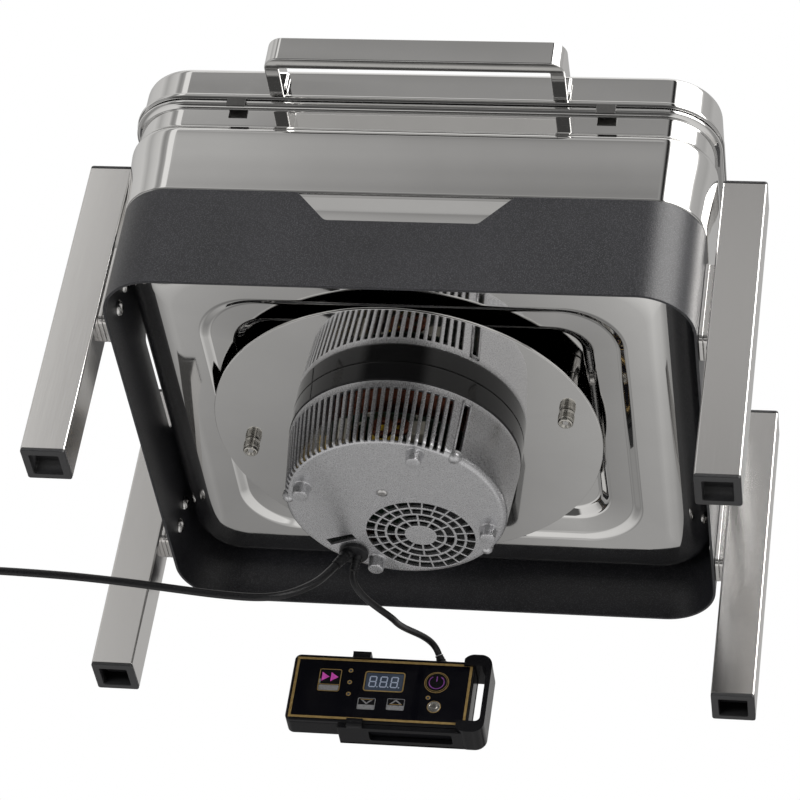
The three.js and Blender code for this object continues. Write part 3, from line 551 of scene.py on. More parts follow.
# ------------------------------------------------------------------ cords
def bezier(a, b, c, d, n):
    return [tuple((1 - t) ** 3 * a[i] + 3 * (1 - t) ** 2 * t * b[i] + 3 * (1 - t) * t * t * c[i] + t ** 3 * d[i] for i in range(3)) for t in (k / n for k in range(n + 1))]


CONTROL_LEAD = (bezier((-49.28, 63.56, 58.42), (-51.91, 68.98, 42.31), (-26.12, 89.78, 42.22), (-23.97, 120.48, 54.19), 34)
                + bezier((-23.97, 120.48, 54.19), (-21.31, 158.51, 69.02), (-6.44, 181.33, 85.92), (-0.65, 191.71, 72.86), 34)[1:])
MAINS = [
    (-60.15, 48.35, 52.25), (-63.4, 45, 44), (-68.6, 39.8, 32.5), (-75.6, 34, 22), (-84.6, 28.8, 12.8), (-95, 25, 6.6), (-106, 23, 3.9), (-118, 22, 3.1),
    (-140, 20, 3.05), (-170, 15.5, 3.05), (-205, 10, 3.05), (-240, 6, 3.05), (-270, 4, 3.05), (-300, 3, 3.05), (-328.5, 3, 3.05)]


def coil_route():
    """Three turns inwards on the table and two and a quarter outwards on top of them, clockwise seen from above."""
    cx, cy, low, high, steps = -355.0, 46.0, 3.05, 9.15, 26
    pts, a, turns = [], -90.0, 3.0
    n = int(turns * steps)
    for k in range(n + 1):
        u = k / n
        rise = max(0.0, (u - 0.90) / 0.10)
        ang = math.radians(a - 360 * turns * u)
        r = 43 - 18 * u
        pts.append((cx + r * math.cos(ang), cy + r * math.sin(ang), low + (high - low) * 0.5 * rise * rise))
    end, extra = a - 360 * turns, 2.25
    n = int(extra * steps)
    for k in range(1, n + 1):
        u = k / n
        rise = min(1.0, u * extra / 0.3)
        ang = math.radians(end - 360 * extra * u)
        r = 25 + 13.5 * u
        pts.append((cx + r * math.cos(ang), cy + r * math.sin(ang), low + (high - low) * (0.5 + 0.5 * rise * (2 - rise))))
    return pts


COIL = coil_route()


def polyline_length(p):
    return sum(math.dist(a, b) for a, b in zip(p, p[1:]))


def cord_mesh(name, points, diameter, material, slot, replaces, sides=16):
    b = Build()
    b.tube(points, diameter / 2, sides)
    ob = b.done(name, material, slot=slot, replaces=replaces, weighted=False, sharp=60)
    return ob


lead_path = CONTROL_LEAD
lead = cord_mesh("control_cable", lead_path, 5.2, RUBBER, "black_rubber", ("controller_lead",))

tail = [(-393.2, 56, 9.5), (-391.6, 67, 10.5), (-389.6, 76, 11.1), (-389, 81.2, 11.2)]
mains_path = [(x, y, max(z, 3.05)) for x, y, z in catmull(MAINS + COIL[1:] + tail, 4)]
mains = cord_mesh("mains_cable", mains_path, 6.0, RUBBER, "black_rubber", ("mains_lead", "mains_coil"))

# ------------------------------------------------------------------ legs, caps, bolts
LEG_X, LEG_Y = 233.7, 133.4
CORNERS = [("front_left", -1, -1), ("front_right", 1, -1), ("rear_left", -1, 1), ("rear_right", 1, 1)]
for where, sx, sy in CORNERS:
    x, y = sx * LEG_X, sy * LEG_Y
    def sq(h, r, z, n=4):
        return [(p[0], p[1], z) for p in rounded(h, h, r, n, x, y)]
    b = Build()
    b.loft([sq(15.6, 1.3, 2.7), sq(16, 1.5, 3.1), sq(16, 1.5, 262.5), sq(15.6, 1.3, 262.9), sq(14.5, 0.6, 262.9), sq(14.5, 0.6, 2.7)], ring=True)
    b.done("leg_tube_" + where, LEG, slot="polished_steel", replaces=("leg_" + where,))
    inner, face = sx * (LEG_X - 16), sx * 211.3
    b = Build()
    cut = Build()
    lo, hi = min(inner, face), max(inner, face)
    mid = (lo + hi) / 2
    outline = [(y - 13.9, 188), (y - 13.9, 123), (y - 10.9, 120), (y + 10.9, 120), (y + 13.9, 123), (y + 13.9, 188)]
    outline = fillet(outline, [0.6, 1.6, 1.6, 1.6, 1.6, 0.6], 4, True)
    b.prism(outline, lo + (0.02 if sx > 0 else 0.02), mid - 0.12, "x")
    b.prism([(p[0] * 1.0, p[1]) for p in outline], mid + 0.12, hi - 0.02, "x")
    b.done("leg_spacer_" + where, LEG, slot="polished_steel", bevel=0.55, segments=3)
    b = Build()
    b.loft([sq(15.2, 1.5, 0), sq(15.8, 1.8, 0.35), sq(16, 1.9, 0.9), sq(16, 1.9, 2.45), sq(14.2, 0.6, 2.45), sq(14.2, 0.6, 15), sq(11.6, 0.8, 15), sq(11.6, 0.8, 12), sq(10.5, 0.8, 12), sq(10.5, 0.8, 0.5), sq(10.9, 1.0, 0)], ring=True)
    b.loft([sq(10.5, 0.8, 12), sq(10.5, 0.8, 12.8)])
    b.done("foot_plug_" + where, CAP, slot="black_cap_plastic", replaces=("foot_cap_" + where,), sharp=40)
    b = Build()
    b.loft([sq(14.2, 0.6, 253.6), sq(14.2, 0.6, 263.1), sq(16, 1.9, 263.1), sq(16, 1.9, 264.7), sq(15.7, 1.8, 265.3), sq(15.0, 1.6, 265.6)])
    b.done("top_plug_" + where, CAP, slot="black_cap_plastic", replaces=("top_cap_" + where,), sharp=40)
    for k, z in (("lower", 143), ("upper", 165)):
        at, tip = 208.85, LEG_X - 9
        b = Build()
        n = 36
        def hexr(i, r):
            a = (2 * math.pi * i / n) % (math.pi / 3) - math.pi / 6
            return r / math.cos(a)
        def loop(r, h, hexed=False):
            out = []
            for i in range(n):
                q = hexr(i, r) if hexed else r
                a = 2 * math.pi * i / n
                out.append((sx * h, y + q * math.cos(a), z + q * math.sin(a)))
            return out
        b.loft([loop(6.0, at), loop(6.0, at - 0.5), loop(5.85, at - 1.2), loop(5.4, at - 2.1), loop(4.6, at - 2.9), loop(3.6, at - 3.4), loop(2.75, at - 3.6),
                loop(1.95, at - 3.55, True), loop(1.9, at - 1.6, True), loop(0.2, at - 1.45)])
        b.loft([loop(2.5, at - 0.8), loop(2.5, tip)])
        b.done("bolt_" + where + "_" + k, BOLT, slot="bright_fastener", replaces=("leg_bolt_" + where + "_" + k,), sharp=38)

# ------------------------------------------------------------------ frame band
def band():
    hx, hy, r, t, z0, z1 = 211.0, 195.0, 41.0, 2.0, 117.6, 204.7
    def top(u, a, c, depth):          # height of the upper edge at distance u from the middle of a side
        u = abs(u)
        if u >= a:
            return z1
        if u <= c:
            return z1 - depth
        return z1 - depth * (a - u) / (a - c)
    def soften(a, c):
        marks = []
        for s in (-1, 1):
            for q in (a + 2.2, a + 0.8, a, a - 0.9, a - 2.2, c + 2.2, c + 0.8, c, c - 0.8, c - 2.2):
                marks.append(s * q)
        return marks
    def smooth_top(u, a, c, depth):
        k = 1.8
        return sum(top(u + d, a, c, depth) for d in (-k, -k / 2, 0, k / 2, k)) / 5
    cols = []                          # (x, y, nx, ny, z top), anticlockwise from the front side
    fx = sorted(set([-(hx - r), hx - r] + [q for q in soften(78, 55)] + [-120, -100, -30, 0, 30, 100, 120]))
    for q in fx:
        cols.append((q, -hy, 0, -1, smooth_top(q, 78, 55, 25.7)))
    def arc(cx, cy, a0):
        for i in range(1, 24):
            a = math.radians(a0 + 90 * i / 24)
            cols.append((cx + r * math.cos(a), cy + r * math.sin(a), math.cos(a), math.sin(a), z1))
    arc(hx - r, -(hy - r), -90)
    sy = sorted(set([-(hy - r), hy - r] + [q for q in soften(77, 53)] + [-110, -30, 0, 30, 110]))
    for q in sy:
        cols.append((hx, q, 1, 0, smooth_top(q, 77, 53, 26.7)))
    arc(hx - r, hy - r, 0)
    for q in reversed(fx):
        cols.append((q, hy, 0, 1, smooth_top(q, 78, 55, 25.7)))
    arc(-(hx - r), hy - r, 90)
    for q in reversed(sy):
        cols.append((-hx, q, -1, 0, smooth_top(q, 77, 53, 26.7)))
    arc(-(hx - r), -(hy - r), 180)
    e = 0.55
    section = []                       # (offset inwards, height from the foot or from the top)
    for k in range(4):
        a = math.pi / 2 * k / 3
        section.append((e - e * math.sin(a), "b", e - e * math.cos(a)) if False else (e * (1 - math.cos(math.pi / 2 - a)), "b", e * (1 - math.sin(math.pi / 2 - a))))
    section = [(e, "b", 0.0), (e * 0.4, "b", e * 0.12), (e * 0.1, "b", e * 0.45), (0.0, "b", e), (0.0, "b", 22), (0.0, "t", 26), (0.0, "t", e), (e * 0.1, "t", e * 0.45), (e * 0.4, "t", e * 0.12), (e, "t", 0.0),
               (t - e, "t", 0.0), (t - e * 0.4, "t", e * 0.12), (t - e * 0.1, "t", e * 0.45), (t, "t", e), (t, "t", 26), (t, "b", 22), (t, "b", e), (t - e * 0.1, "b", e * 0.45), (t - e * 0.4, "b", e * 0.12), (t - e, "b", 0.0)]
    loops = []
    for off, ref, h in section:
        l = []
        for x, y, nx, ny, zt in cols:
            if ref == "b":
                z = z0 + h
            else:
                z = zt - h if h < 20 else z0 + 22 + (zt - z0 - 22) * 0.45
            l.append((x - nx * off, y - ny * off, z))
        loops.append(l)
    b = Build()
    b.loft(loops, ring=True)
    return b.done("band_shell", POWDER, slot="black_powder_coat", replaces=("frame_band",))


band()

# ------------------------------------------------------------------ water pan
def pan():
    t = 0.9
    outer = [
        (20, 20, 8, 158), (124.5, 107.5, 23, 158), (131, 114, 28, 152.6), (149.5, 133, 41, 152.2), (155, 138.5, 45, 150.2), (177, 161, 30, 150),
        well(-25, 150.8), well(-17, 154), well(-10, 159.6), well(-4.8, 168.4), well(-1.9, 178), well(-0.9, 188), (207.8, 191.6, 37.8, 203.4),
        (208.1, 191.9, 38.1, 205.1), wall(-1.5, 205.1), wall(-0.7, 206.3), wall(-0.3, 215), wall(1.0, 235), wall(2.6, 250), wall(3.2, 257), wall(3.2, 260.5), wall(1.6, 263.5), wall(0.1, 265.4), wall(0, 267),
        wall(0, 282.4), wall(2.4, 283.4), wall(4.4, 285), wall(4.4, 287.35)]
    inner = [wall(-t, 287.35), wall(-t, 267.3), wall(2.2, 260.2), wall(2.2, 257.2), wall(0, 235), wall(-1.7, 207.5), (207.0, 190.8, 36.6, 204.4), well(-1.9, 188), well(-5.8, 168.9), well(-11.0, 160.2), well(-25, 151.8),
             (176.5, 160.5, 30, 150.9), (154, 137.5, 44, 151.1), (148.5, 132, 40, 153.1), (130, 113, 27, 153.5), (123.5, 106.5, 22, 158.9), (20, 20, 8, 158.9)]
    so = [0, 2.6, 3.2, 2.4, 2.4, 9, 5, 4, 4, 4, 4, 5, 1.2, 0.2, 0.6, 1.0, 5, 8, 6, 3, 1.8, 1.4, 0.9, 0.8, 1.2, 1.4, 1.4, 1.1]
    si = [0.5, 3, 3, 2, 8, 5, 1.5, 6, 4, 4, 5, 6, 2, 2, 3, 3, 0]
    b = Build()
    b.loft(rings(fillet(outer + inner, so + si, 4), 20))
    cut = Build()
    for dx, dy, top in ((-120, 16, 151.8), (121, -32, 157.2)):
        cut.lathe([(0, top - 4), (2.75, top - 4), (2.75, top + 6), (0, top + 6)], 24, CX + dx, dy)
    return b.done("water_pan", MIRROR, slot="mirror_steel", replaces=("water_pan_body",), cutters=cut, sharp=50)


pan()


def food():
    r = [(60, 50, 20, 222), (160, 145, 28, 222), (169, 154, 36, 225), (173, 158, 40, 233), (176, 161, 43, 284.5), (179, 164, 46, 287.75),
         (HX + 3.2, HY + 3.2, HR + 3.2, 287.75), (HX + 3.2, HY + 3.2, HR + 3.2, 288.55), (178.4, 163.4, 45.4, 288.55), (175.1, 160.1, 42.1, 284.8),
         (172.1, 157.1, 39.1, 233.3), (168.4, 153.4, 35.4, 225.8), (159.6, 144.6, 27.6, 222.9), (60, 50, 20, 222.9)]
    s = [0, 6, 6, 5, 3, 2, 0.3, 0.3, 2.2, 3, 5, 6, 6, 0]
    Build().loft(rings(fillet(r, s, 4), 14)).done("gastronorm_pan", SATIN, slot="polished_steel", replaces=("food_pan",), sharp=60)


food()


# ------------------------------------------------------------------ lid
def lid():
    k = 0.45
    outer = [(30, 20, 10, 345), wall(-130, 343.1, k), wall(-80, 339.7, k), wall(-40, 334.4, k), wall(-14, 327.7, k), wall(-3.2, 322.6, 0.9), (HX + 2, HY + 2, HR + 2, 320.2),
             (HX + 2, HY + 2, HR + 2, 295.6), wall(4.0, 294.7), wall(5.2, 293.4), wall(5.2, 290.9), wall(4.0, 289.3)]
    inner = [wall(1.0, 289.3), wall(1.0, 299.5), wall(1.1, 318.2), wall(-4.0, 321.3, 0.9), wall(-14.4, 326.4, k), wall(-40.3, 333.2, k), wall(-80.2, 338.6, k), wall(-130, 342.0, k), (30, 20, 10, 344.0)]
    so = [0, 20, 20, 12, 6, 3.0, 3.4, 0.6, 0.9, 0.8, 0.9, 0.5]
    si = [0.3, 1, 2, 2, 6, 12, 20, 20, 0]
    cut = Build()
    for x in (-48, 48):
        cut.lathe([(0, 188), (2.1, 188), (2.1, 198), (0, 198)], 20, x, 309, "y")
    for x in (-106, 102):
        cut.lathe([(0, -199), (2.1, -199), (2.1, -189), (0, -189)], 20, x, 307, "y")
    Build().loft(rings(fillet(outer + inner, so + si, 4), 20)).done("lid_cover", MIRROR, "lid", "mirror_steel", ("lid_shell",), cutters=cut, sharp=50)


lid()


def handle():
    x0, x1, front, th, z0, z1, r = -111.0, 107.0, -240.0, 10.5, 291.0, 312.2, 11.5
    back = -196.8
    q = r - th
    n = 12
    out = [(x0 + r + r * math.cos(math.pi + math.pi / 2 * i / n), front + r + r * math.sin(math.pi + math.pi / 2 * i / n)) for i in range(n + 1)]
    out += [(x1 - r + r * math.cos(-math.pi / 2 + math.pi / 2 * i / n), front + r + r * math.sin(-math.pi / 2 + math.pi / 2 * i / n)) for i in range(n + 1)]
    inn = [(x1 - r + q * math.cos(-math.pi / 2 * i / n), front + r + q * math.sin(-math.pi / 2 * i / n)) for i in range(n + 1)]
    inn += [(x0 + r + q * math.cos(-math.pi / 2 - math.pi / 2 * i / n), front + r + q * math.sin(-math.pi / 2 - math.pi / 2 * i / n)) for i in range(n + 1)]
    b = Build()
    b.prism([(x0, back)] + out + [(x1, back), (x1 - th, back)] + inn + [(x0 + th, back)], z0, z1)
    cut = Build().box(x0 - 10, x1 + 10, -200.5, back + 20, z0 - 10, 299.05)
    b.done("handle_bar", MIRROR, "lid", "mirror_steel", ("lid_handle",), bevel=0.9, segments=4, cutters=cut)
    b = Build()
    for x in (x0 + th / 2, x1 - th / 2):
        b.box(x - 6.2, x + 6.2, -202.3, -196.8, 299.05, 313.2)
        b.lathe([(0, -198), (1.9, -198), (1.9, -190.5), (1.2, -189), (0, -189)], 20, x, 307, "y")
    b.done("handle_collars", MIRROR, "lid", "mirror_steel", bevel=0.7, segments=3)


handle()

for name, x in (("bumper_left", -135), ("bumper_right", 135)):
    b = Build()
    b.box(x - 7, x + 7, -201.4, -200.0, 280.2, 289.0)
    b.box(x - 6.9, x + 6.9, -200.7, -199.0, 287.75, 288.95)
    b.done("lid_" + name, BUMPER, slot="black_rubber", replaces=(name,), bevel=0.4, segments=2)


# ------------------------------------------------------------------ hinge
def hinge():
    ay, az = 209.0, 288.4
    def ringpipe(b, x0, x1, r0, r1):
        b.lathe([(r0, x0 + 0.02), (r1 - 0.5, x0 + 0.02), (r1, x0 + 0.5), (r1, x1 - 0.5), (r1 - 0.5, x1 - 0.02), (r0, x1 - 0.02)], 40, ay, az, "x", ring=True)
    wy = HY + 0.3
    strap = [(wy, 268.2), (wy + 2, 268.2), (wy + 2, 272.6), (ay, 272.6), (ay + 3.2, 275.6), (ay + 5.2, az - 2), (ay + 3.1, az - 3.2), (ay - 3.1, az - 3.2), (ay - 3.6, 284.4), (ay - 4.6, 277.5), (ay - 5.4, 275.6), (wy, 275.6)]
    b = Build()
    for x0, x1 in ((-62, -36), (36, 62)):
        ringpipe(b, x0, x1, 3.15, 6.0)
        b.prism(strap, x0, x1, "x")
    b.box(-62, 62, wy, wy + 2, 268.2, 282)
    b.done("hinge_wall_plate", SATIN, slot="polished_steel", replaces=("hinge_base",), bevel=0.45, segments=2, angle=38)
    b = Build()
    for x in (-48, 48):
        b.lathe([(0, wy + 2.0), (4.2, wy + 2.0), (4.0, wy + 2.7), (2.8, wy + 3.4), (1.2, wy + 3.6), (0, wy + 3.6)], 28, x, 279, "y")
        b.lathe([(0, wy - 4), (1.9, wy - 4), (1.9, wy), (0, wy)], 16, x, 271, "y")
    b.done("hinge_plate_rivets", BOLT, slot="bright_fastener", sharp=40)
    ly = HY + 2.3
    b = Build()
    ringpipe(b, -35.5, 35.5, 3.15, 6.0)
    b.box(-35.5, 35.5, ay - 2, ay + 2, 292.6, 300.5)
    b.box(-35.5, 35.5, ly, ay + 2, 299, 301)
    b.box(-35.5, 35.5, ly, ly + 2, 299, 316)
    b.box(-58, 58, ly, ly + 2, 303, 316)
    b.done("hinge_lid_leaf", SATIN, "lid", "polished_steel", ("hinge_leaf",), bevel=0.45, segments=2, angle=38)
    b = Build()
    for x in (-48, 48):
        b.lathe([(0, ly + 2.0), (4.2, ly + 2.0), (4.0, ly + 2.7), (2.8, ly + 3.4), (1.2, ly + 3.6), (0, ly + 3.6)], 28, x, 309.5, "y")
        b.lathe([(0, ly - 4), (1.9, ly - 4), (1.9, ly), (0, ly)], 16, x, 309, "y")
    b.done("hinge_leaf_rivets", BOLT, "lid", "bright_fastener", sharp=40)
    b = Build()
    b.lathe([(0, -65), (3.4, -65), (4.4, -64.4), (4.6, -63.6), (4.6, -62.3), (3, -62.3), (3, 61.6), (2.4, 62.4), (0, 62.5)], 32, ay, az, "x")
    b.done("hinge_rod", BOLT, slot="bright_fastener", replaces=("hinge_pin",), sharp=40)


hinge()

# ------------------------------------------------------------------ mounting disc, studs, nuts
b = Build()
b.lathe([(0, 140), (144.55, 140), (144.88, 140.12), (145, 140.45), (145, 141.55), (144.88, 141.88), (144.55, 142), (0, 142)], 160, CX, 0)
cut = Build()
for dx, dy in ((-120, 16), (121, -32)):
    cut.lathe([(0, 138), (2.75, 138), (2.75, 144), (0, 144)], 24, CX + dx, dy)
b.done("burner_disc", MIRROR, slot="mirror_steel", replaces=("mounting_disc",), cutters=cut, sharp=50)
for side, dx, dy, top in (("left", -120, 16, 151.8), ("right", 121, -32, 157.2)):
    x, y = CX + dx, dy
    b = Build()
    thread = [(2.5, 132 + 0.35 * k) if k % 2 else (2.25, 132 + 0.35 * k) for k in range(20)]
    b.lathe([(0, 131), (2.1, 131), (2.4, 131.5)] + thread + [(2.5, 142.3), (5.3, 142.3), (5.5, 142.6), (5.5, top - 0.3), (5.3, top), (2.5, top), (2.5, top + 4.2), (2.1, top + 4.6), (0, top + 4.6)], 32, x, y)
    b.done("stud_" + side, BOLT, slot="bright_fastener", replaces=("disc_stud_" + side,), sharp=40)
    b = Build()
    prof = [(2.65, 139.75), (2.65, 131.4), (3.0, 131.0), (4.0, 130.1), (4.3, 129.75), (4.7, 129.72), (5.25, 129.95), (5.6, 130.5), (5.75, 131.1), (5.75, 132.0), (5.45, 132.25), (5.45, 132.55), (5.75, 132.8),
            (5.75, 137.3), (5.45, 137.55), (5.45, 137.85), (5.75, 138.1), (5.75, 139.1), (5.6, 139.6), (5.3, 139.75)]
    b.lathe(prof, 64, x, y, ring=True)
    for k in range(40):
        a = 2 * math.pi * k / 40
        c, s = math.cos(a), math.sin(a)
        q = [(5.55, -0.26), (5.98, 0), (5.55, 0.26)]
        b.prism([(x + r * c - w * s, y + r * s + w * c) for r, w in q], 133.0, 137.1)
    b.done("thumb_nut_" + side, NICKEL, slot="nickel", replaces=("disc_nut_" + side,), sharp=34)

# ------------------------------------------------------------------ burner
b = Build()
b.lathe(fillet([(83, 123.4), (86.5, 123.4), (86.5, 139.7), (83, 139.7)], [0.3, 0.9, 0.7, 0.3], 4, True), 160, CX, 0, ring=True)
b.done("burner_collar", GLOSS, slot="gloss_black_plastic", replaces=("burner_upper_case",), sharp=60)
Build().lathe([(0, 136), (82.2, 136), (82.6, 136.4), (82.6, 139.3), (82.2, 139.7), (0, 139.7)], 96, CX, 0).done(
    "hob_glass", GLOSS, slot="black_ceramic_glass", replaces=("burner_top_plate",), sharp=60)
prof = [(18, 133.4)]
for k in range(26):
    r = 18 + 2 * k
    prof += [(r + 0.15, 129.9), (r + 0.55, 129.25), (r + 1.0, 129.05), (r + 1.45, 129.25), (r + 1.85, 129.9)]
prof += [(70, 133.4)]
Build().lathe(prof, 90, CX, 0, ring=True).done("pancake_coil", COPPER, slot="copper", replaces=("heating_coil",), sharp=70)


def offset_convex(poly, d):
    """A convex outline moved outwards by d, its corners mitred."""
    n, out = len(poly), []
    area = sum(poly[i][0] * poly[(i + 1) % n][1] - poly[(i + 1) % n][0] * poly[i][1] for i in range(n))
    s = 1 if area > 0 else -1
    for i in range(n):
        p0, p1, p2 = Vector(poly[i - 1]), Vector(poly[i]), Vector(poly[(i + 1) % n])
        e1, e2 = (p1 - p0).normalized(), (p2 - p1).normalized()
        n1, n2 = Vector((e1.y, -e1.x)) * s, Vector((e2.y, -e2.x)) * s
        h = n1 + n2
        h = h / max(h.dot(n1), 0.3)
        out.append((p1.x + h.x * d, p1.y + h.y * d))
    return out


def inside(p, poly):
    x, y = p
    hit = False
    for i in range(len(poly)):
        (x1, y1), (x2, y2) = poly[i - 1], poly[i]
        if (y1 > y) != (y2 > y) and x < (x2 - x1) * (y - y1) / (y2 - y1) + x1:
            hit = not hit
    return hit


def fill(b, outer, holes, z, flip=False):
    """Triangles between an outer outline and its holes, at height z."""
    co, ed = [], []
    for loop in [outer] + holes:
        o = len(co)
        co += [Vector((p[0], p[1])) for p in loop]
        ed += [(o + i, o + (i + 1) % len(loop)) for i in range(len(loop))]
    src = [p for loop in [outer] + holes for p in loop]
    vs, _, fs, ov, _, _ = geometry.delaunay_2d_cdt(co, ed, [], 0, 1e-5)
    pts = [src[o[0]] if o else (v.x, v.y) for v, o in zip(vs, ov)]
    faces = []
    for f in fs:
        c = (sum(pts[i][0] for i in f) / len(f), sum(pts[i][1] for i in f) / len(f))
        if inside(c, outer) and not any(inside(c, h) for h in holes):
            faces.append(tuple(f)[::-1] if flip else tuple(f))
    b.add([(p[0], p[1], z) for p in pts], faces)


def housing():
    z0, t, bev = 72.0, 2.5, 0.5
    vents = [(-175 + 4 * k, 3.0) for k in range(30)] + [(-51, 4.6)]
    half = {c: math.degrees(w / 2 / 84) for c, w in vents}
    e2, e1 = math.degrees(bev / 84), math.degrees(bev * 0.3 / 84)
    marks = {}
    for c, _ in vents:
        h = half[c]
        for d in (-h - e2, -h - e1, -h, h, h + e1, h + e2):
            marks[round(c + d, 4)] = True
        marks[round(c, 4)] = True
        marks[round(c + 2.0, 4)] = True
    a = -47.0
    while a < 182.0:
        marks[round(a, 4)] = True
        a += 2.5
    marks[-178.2] = True
    th = sorted(marks)
    th = [q for i, q in enumerate(th) if i == 0 or q - th[i - 1] > 0.045]
    rows = []                      # (radius, height, inward radial, inward height, distance outside the slot or 0 within it)
    def arc(phi, gap):
        s, c = math.sin(math.radians(phi)), math.cos(math.radians(phi))
        rows.append((77.5 + 4.5 * s, 76.5 - 4.5 * c, -s, c, gap))
    arc(0, 2.0); arc(10, 1.2)
    arc(26.4 - math.degrees(bev / 4.5), bev); arc(26.4 - math.degrees(bev * 0.3 / 4.5), bev * 0.3)
    first = len(rows)
    arc(26.4, 0.0)
    for phi in (36, 48, 60, 72):
        arc(phi, 0.0)
    nx, nz = -42.5, 4.0
    l = math.hypot(nx, nz)
    nx, nz = nx / l, nz / l
    def side(z, gap):
        rows.append((82 + 4.0 * (z - 76.5) / 42.5, z, nx, nz, gap))
    for z in (76.9, 84, 96, 108):
        side(z, 0.0)
    last = len(rows)
    side(117, 0.0)
    side(117 + bev * 0.3, bev * 0.3); side(117 + bev, bev); side(119, 2.0)
    for r, z in ((86, 121), (86, 122.3), (85.88, 122.75), (85.6, 122.93), (85.3, 123.0)):
        rows.append((r, z, -1, 0, 2.0))
    J, I = len(rows), len(th)
    def depth(gap_c, gap_r):
        g = math.hypot(max(gap_c, 0), max(gap_r, 0)) if gap_c > 0 and gap_r > 0 else max(gap_c, gap_r)
        if g >= bev:
            return 0.0
        q = bev - max(g, 0.0)
        return bev - math.sqrt(max(bev * bev - q * q, 0.0))
    def near(q):                   # distance in mm outside the nearest slot, 0 in it
        best = 9.0
        for c, _ in vents:
            d = abs(q - c) - half[c]
            best = min(best, d * math.pi / 180 * 84)
        return max(best, 0.0) if best > -1e-3 else 0.0
    gaps = [near(q) for q in th]
    in_slot = []
    for i in range(I):
        q0, q1 = th[i], th[(i + 1) % I] + (360 if i == I - 1 else 0)
        c = (q0 + q1) / 2
        in_slot.append(any(abs(c - v) < half[v] for v, _ in vents))
    def place(i, j, d):
        r, z, ir, iz, _ = rows[j]
        q = math.radians(th[i])
        rr = r + ir * d
        return (rr * math.cos(q), rr * math.sin(q), z + iz * d)
    b = Build()
    outer, inner = [], []
    crown = 0.0
    for j in range(J):
        for i in range(I):
            d = depth(gaps[i], rows[j][4])
            outer.append(place(i, j, d))
    for j in range(J):
        for i in range(I):
            if j >= J - 4:
                q = math.radians(th[i])
                inner.append((83.5 * math.cos(q), 83.5 * math.sin(q), min(rows[j][1], 123.0)))
            else:
                inner.append(place(i, j, t))
    N = J * I
    faces = []
    hole = lambda i, j: first <= j < last and in_slot[i % I]
    for j in range(J - 1):
        for i in range(I):
            k = (i + 1) % I
            if hole(i, j):
                continue
            a0, a1, c1, c0 = j * I + i, j * I + k, (j + 1) * I + k, (j + 1) * I + i
            faces.append((a0, a1, c1, c0))
            faces.append((N + a0, N + c0, N + c1, N + a1))
            if hole(k, j):
                faces.append((a1, N + a1, N + c1, c1))
            if hole(i - 1, j):
                faces.append((a0, c0, N + c0, N + a0))
            if j > 0 and hole(i, j - 1):
                faces.append((a0, N + a0, N + a1, a1))
            if hole(i, j + 1):
                faces.append((c0, c1, N + c1, N + c0))
    for i in range(I):
        k = (i + 1) % I
        faces.append(((J - 1) * I + i, (J - 1) * I + k, N + (J - 1) * I + k, N + (J - 1) * I + i))
    b.add(outer + inner, faces)

    # the flat base with its openings
    edge = [(77.5 * math.cos(math.radians(q)), 77.5 * math.sin(math.radians(q))) for q in th]
    openings = []                  # functions of how far the outline is grown
    gx, gy = 15.0, 33.0
    for (r0, r1), count, bar in (((12, 17.5), 12, 1.5), ((19.5, 25), 12, 1.5), ((27, 32.5), 24, 1.3), ((34.5, 40.5), 24, 1.3)):
        for k in range(count):
            def slot(g, r0=r0, r1=r1, count=count, bar=bar, k=k):
                a, c = 2 * math.pi * (k + 0.5 * (count == 24)) / count, 2 * math.pi * (k + 1 + 0.5 * (count == 24)) / count
                n = 5 if count == 12 else 3
                pts = []
                for r, way in ((r0 - g, 1), (r1 + g, -1)):
                    w = (bar / 2 - g) / r
                    qs = [a + w + (c - a - 2 * w) * i / n for i in range(n + 1)]
                    for q in (qs if way == 1 else qs[::-1]):
                        pts.append((gx + r * math.cos(q), gy + r * math.sin(q)))
                return pts
            openings.append(slot)
    quad = [(-57, 43), (-37, 35), (-34, 41), (-54, 50)]
    openings.append(lambda g: offset_convex(quad, g))
    openings.append(lambda g: circle(-38, 57, 9 + g, 40))
    lip = 0.32
    steps = [(lip * (1 - math.sin(math.radians(q))), z0 + lip * (1 - math.cos(math.radians(q)))) for q in (0, 30, 60, 90)]
    for fn in openings:
        loops = [[(p[0], p[1], z) for p in fn(g)] for g, z in steps] + [[(p[0], p[1], z0 + t) for p in fn(0.0)]]
        b.loft(loops, ends=False)
    label = [(-39, -24), (3, -43), (19, -16), (-26, 2)]
    rim = offset_convex(label, 0.0)
    floor = offset_convex(label, -0.18)
    b.loft([[(p[0], p[1], z0) for p in rim], [(p[0], p[1], z0 + 0.45) for p in floor]], ends=False)
    screw = [circle(-8, -17, r, 32) for r in (4.35, 4.2, 2.0)]
    b.loft([[(p[0], p[1], z0 + 0.45) for p in screw[0]], [(p[0], p[1], z0 + 0.6) for p in screw[1]], [(p[0], p[1], z0 + 1.5) for p in screw[1]], [(p[0], p[1], z0 + 1.5) for p in screw[2]], [(p[0], p[1], z0 + t) for p in screw[2]]], ends=False)
    fill(b, edge, [fn(lip) for fn in openings] + [rim], z0, True)
    fill(b, floor, [screw[0]], z0 + 0.45, True)
    fill(b, edge, [fn(0.0) for fn in openings] + [screw[2]], z0 + t)
    for deg in (18, 108, 198, 288):
        x, y = 70 * math.cos(math.radians(deg)), 70 * math.sin(math.radians(deg))
        b.lathe([(0, 63), (4.9, 63), (5.4, 63.15), (5.7, 63.5), (5.85, 64.0), (6.35, 71.2), (6.6, 71.7), (7.2, 72.02), (7.2, 72.6), (0, 72.6)], 40, x, y)
    for deg, r, rise in ((-176.2, 79.2, 1.0), (38.6, 79.6, 1.0)):
        x, y = r * math.cos(math.radians(deg)), r * math.sin(math.radians(deg))
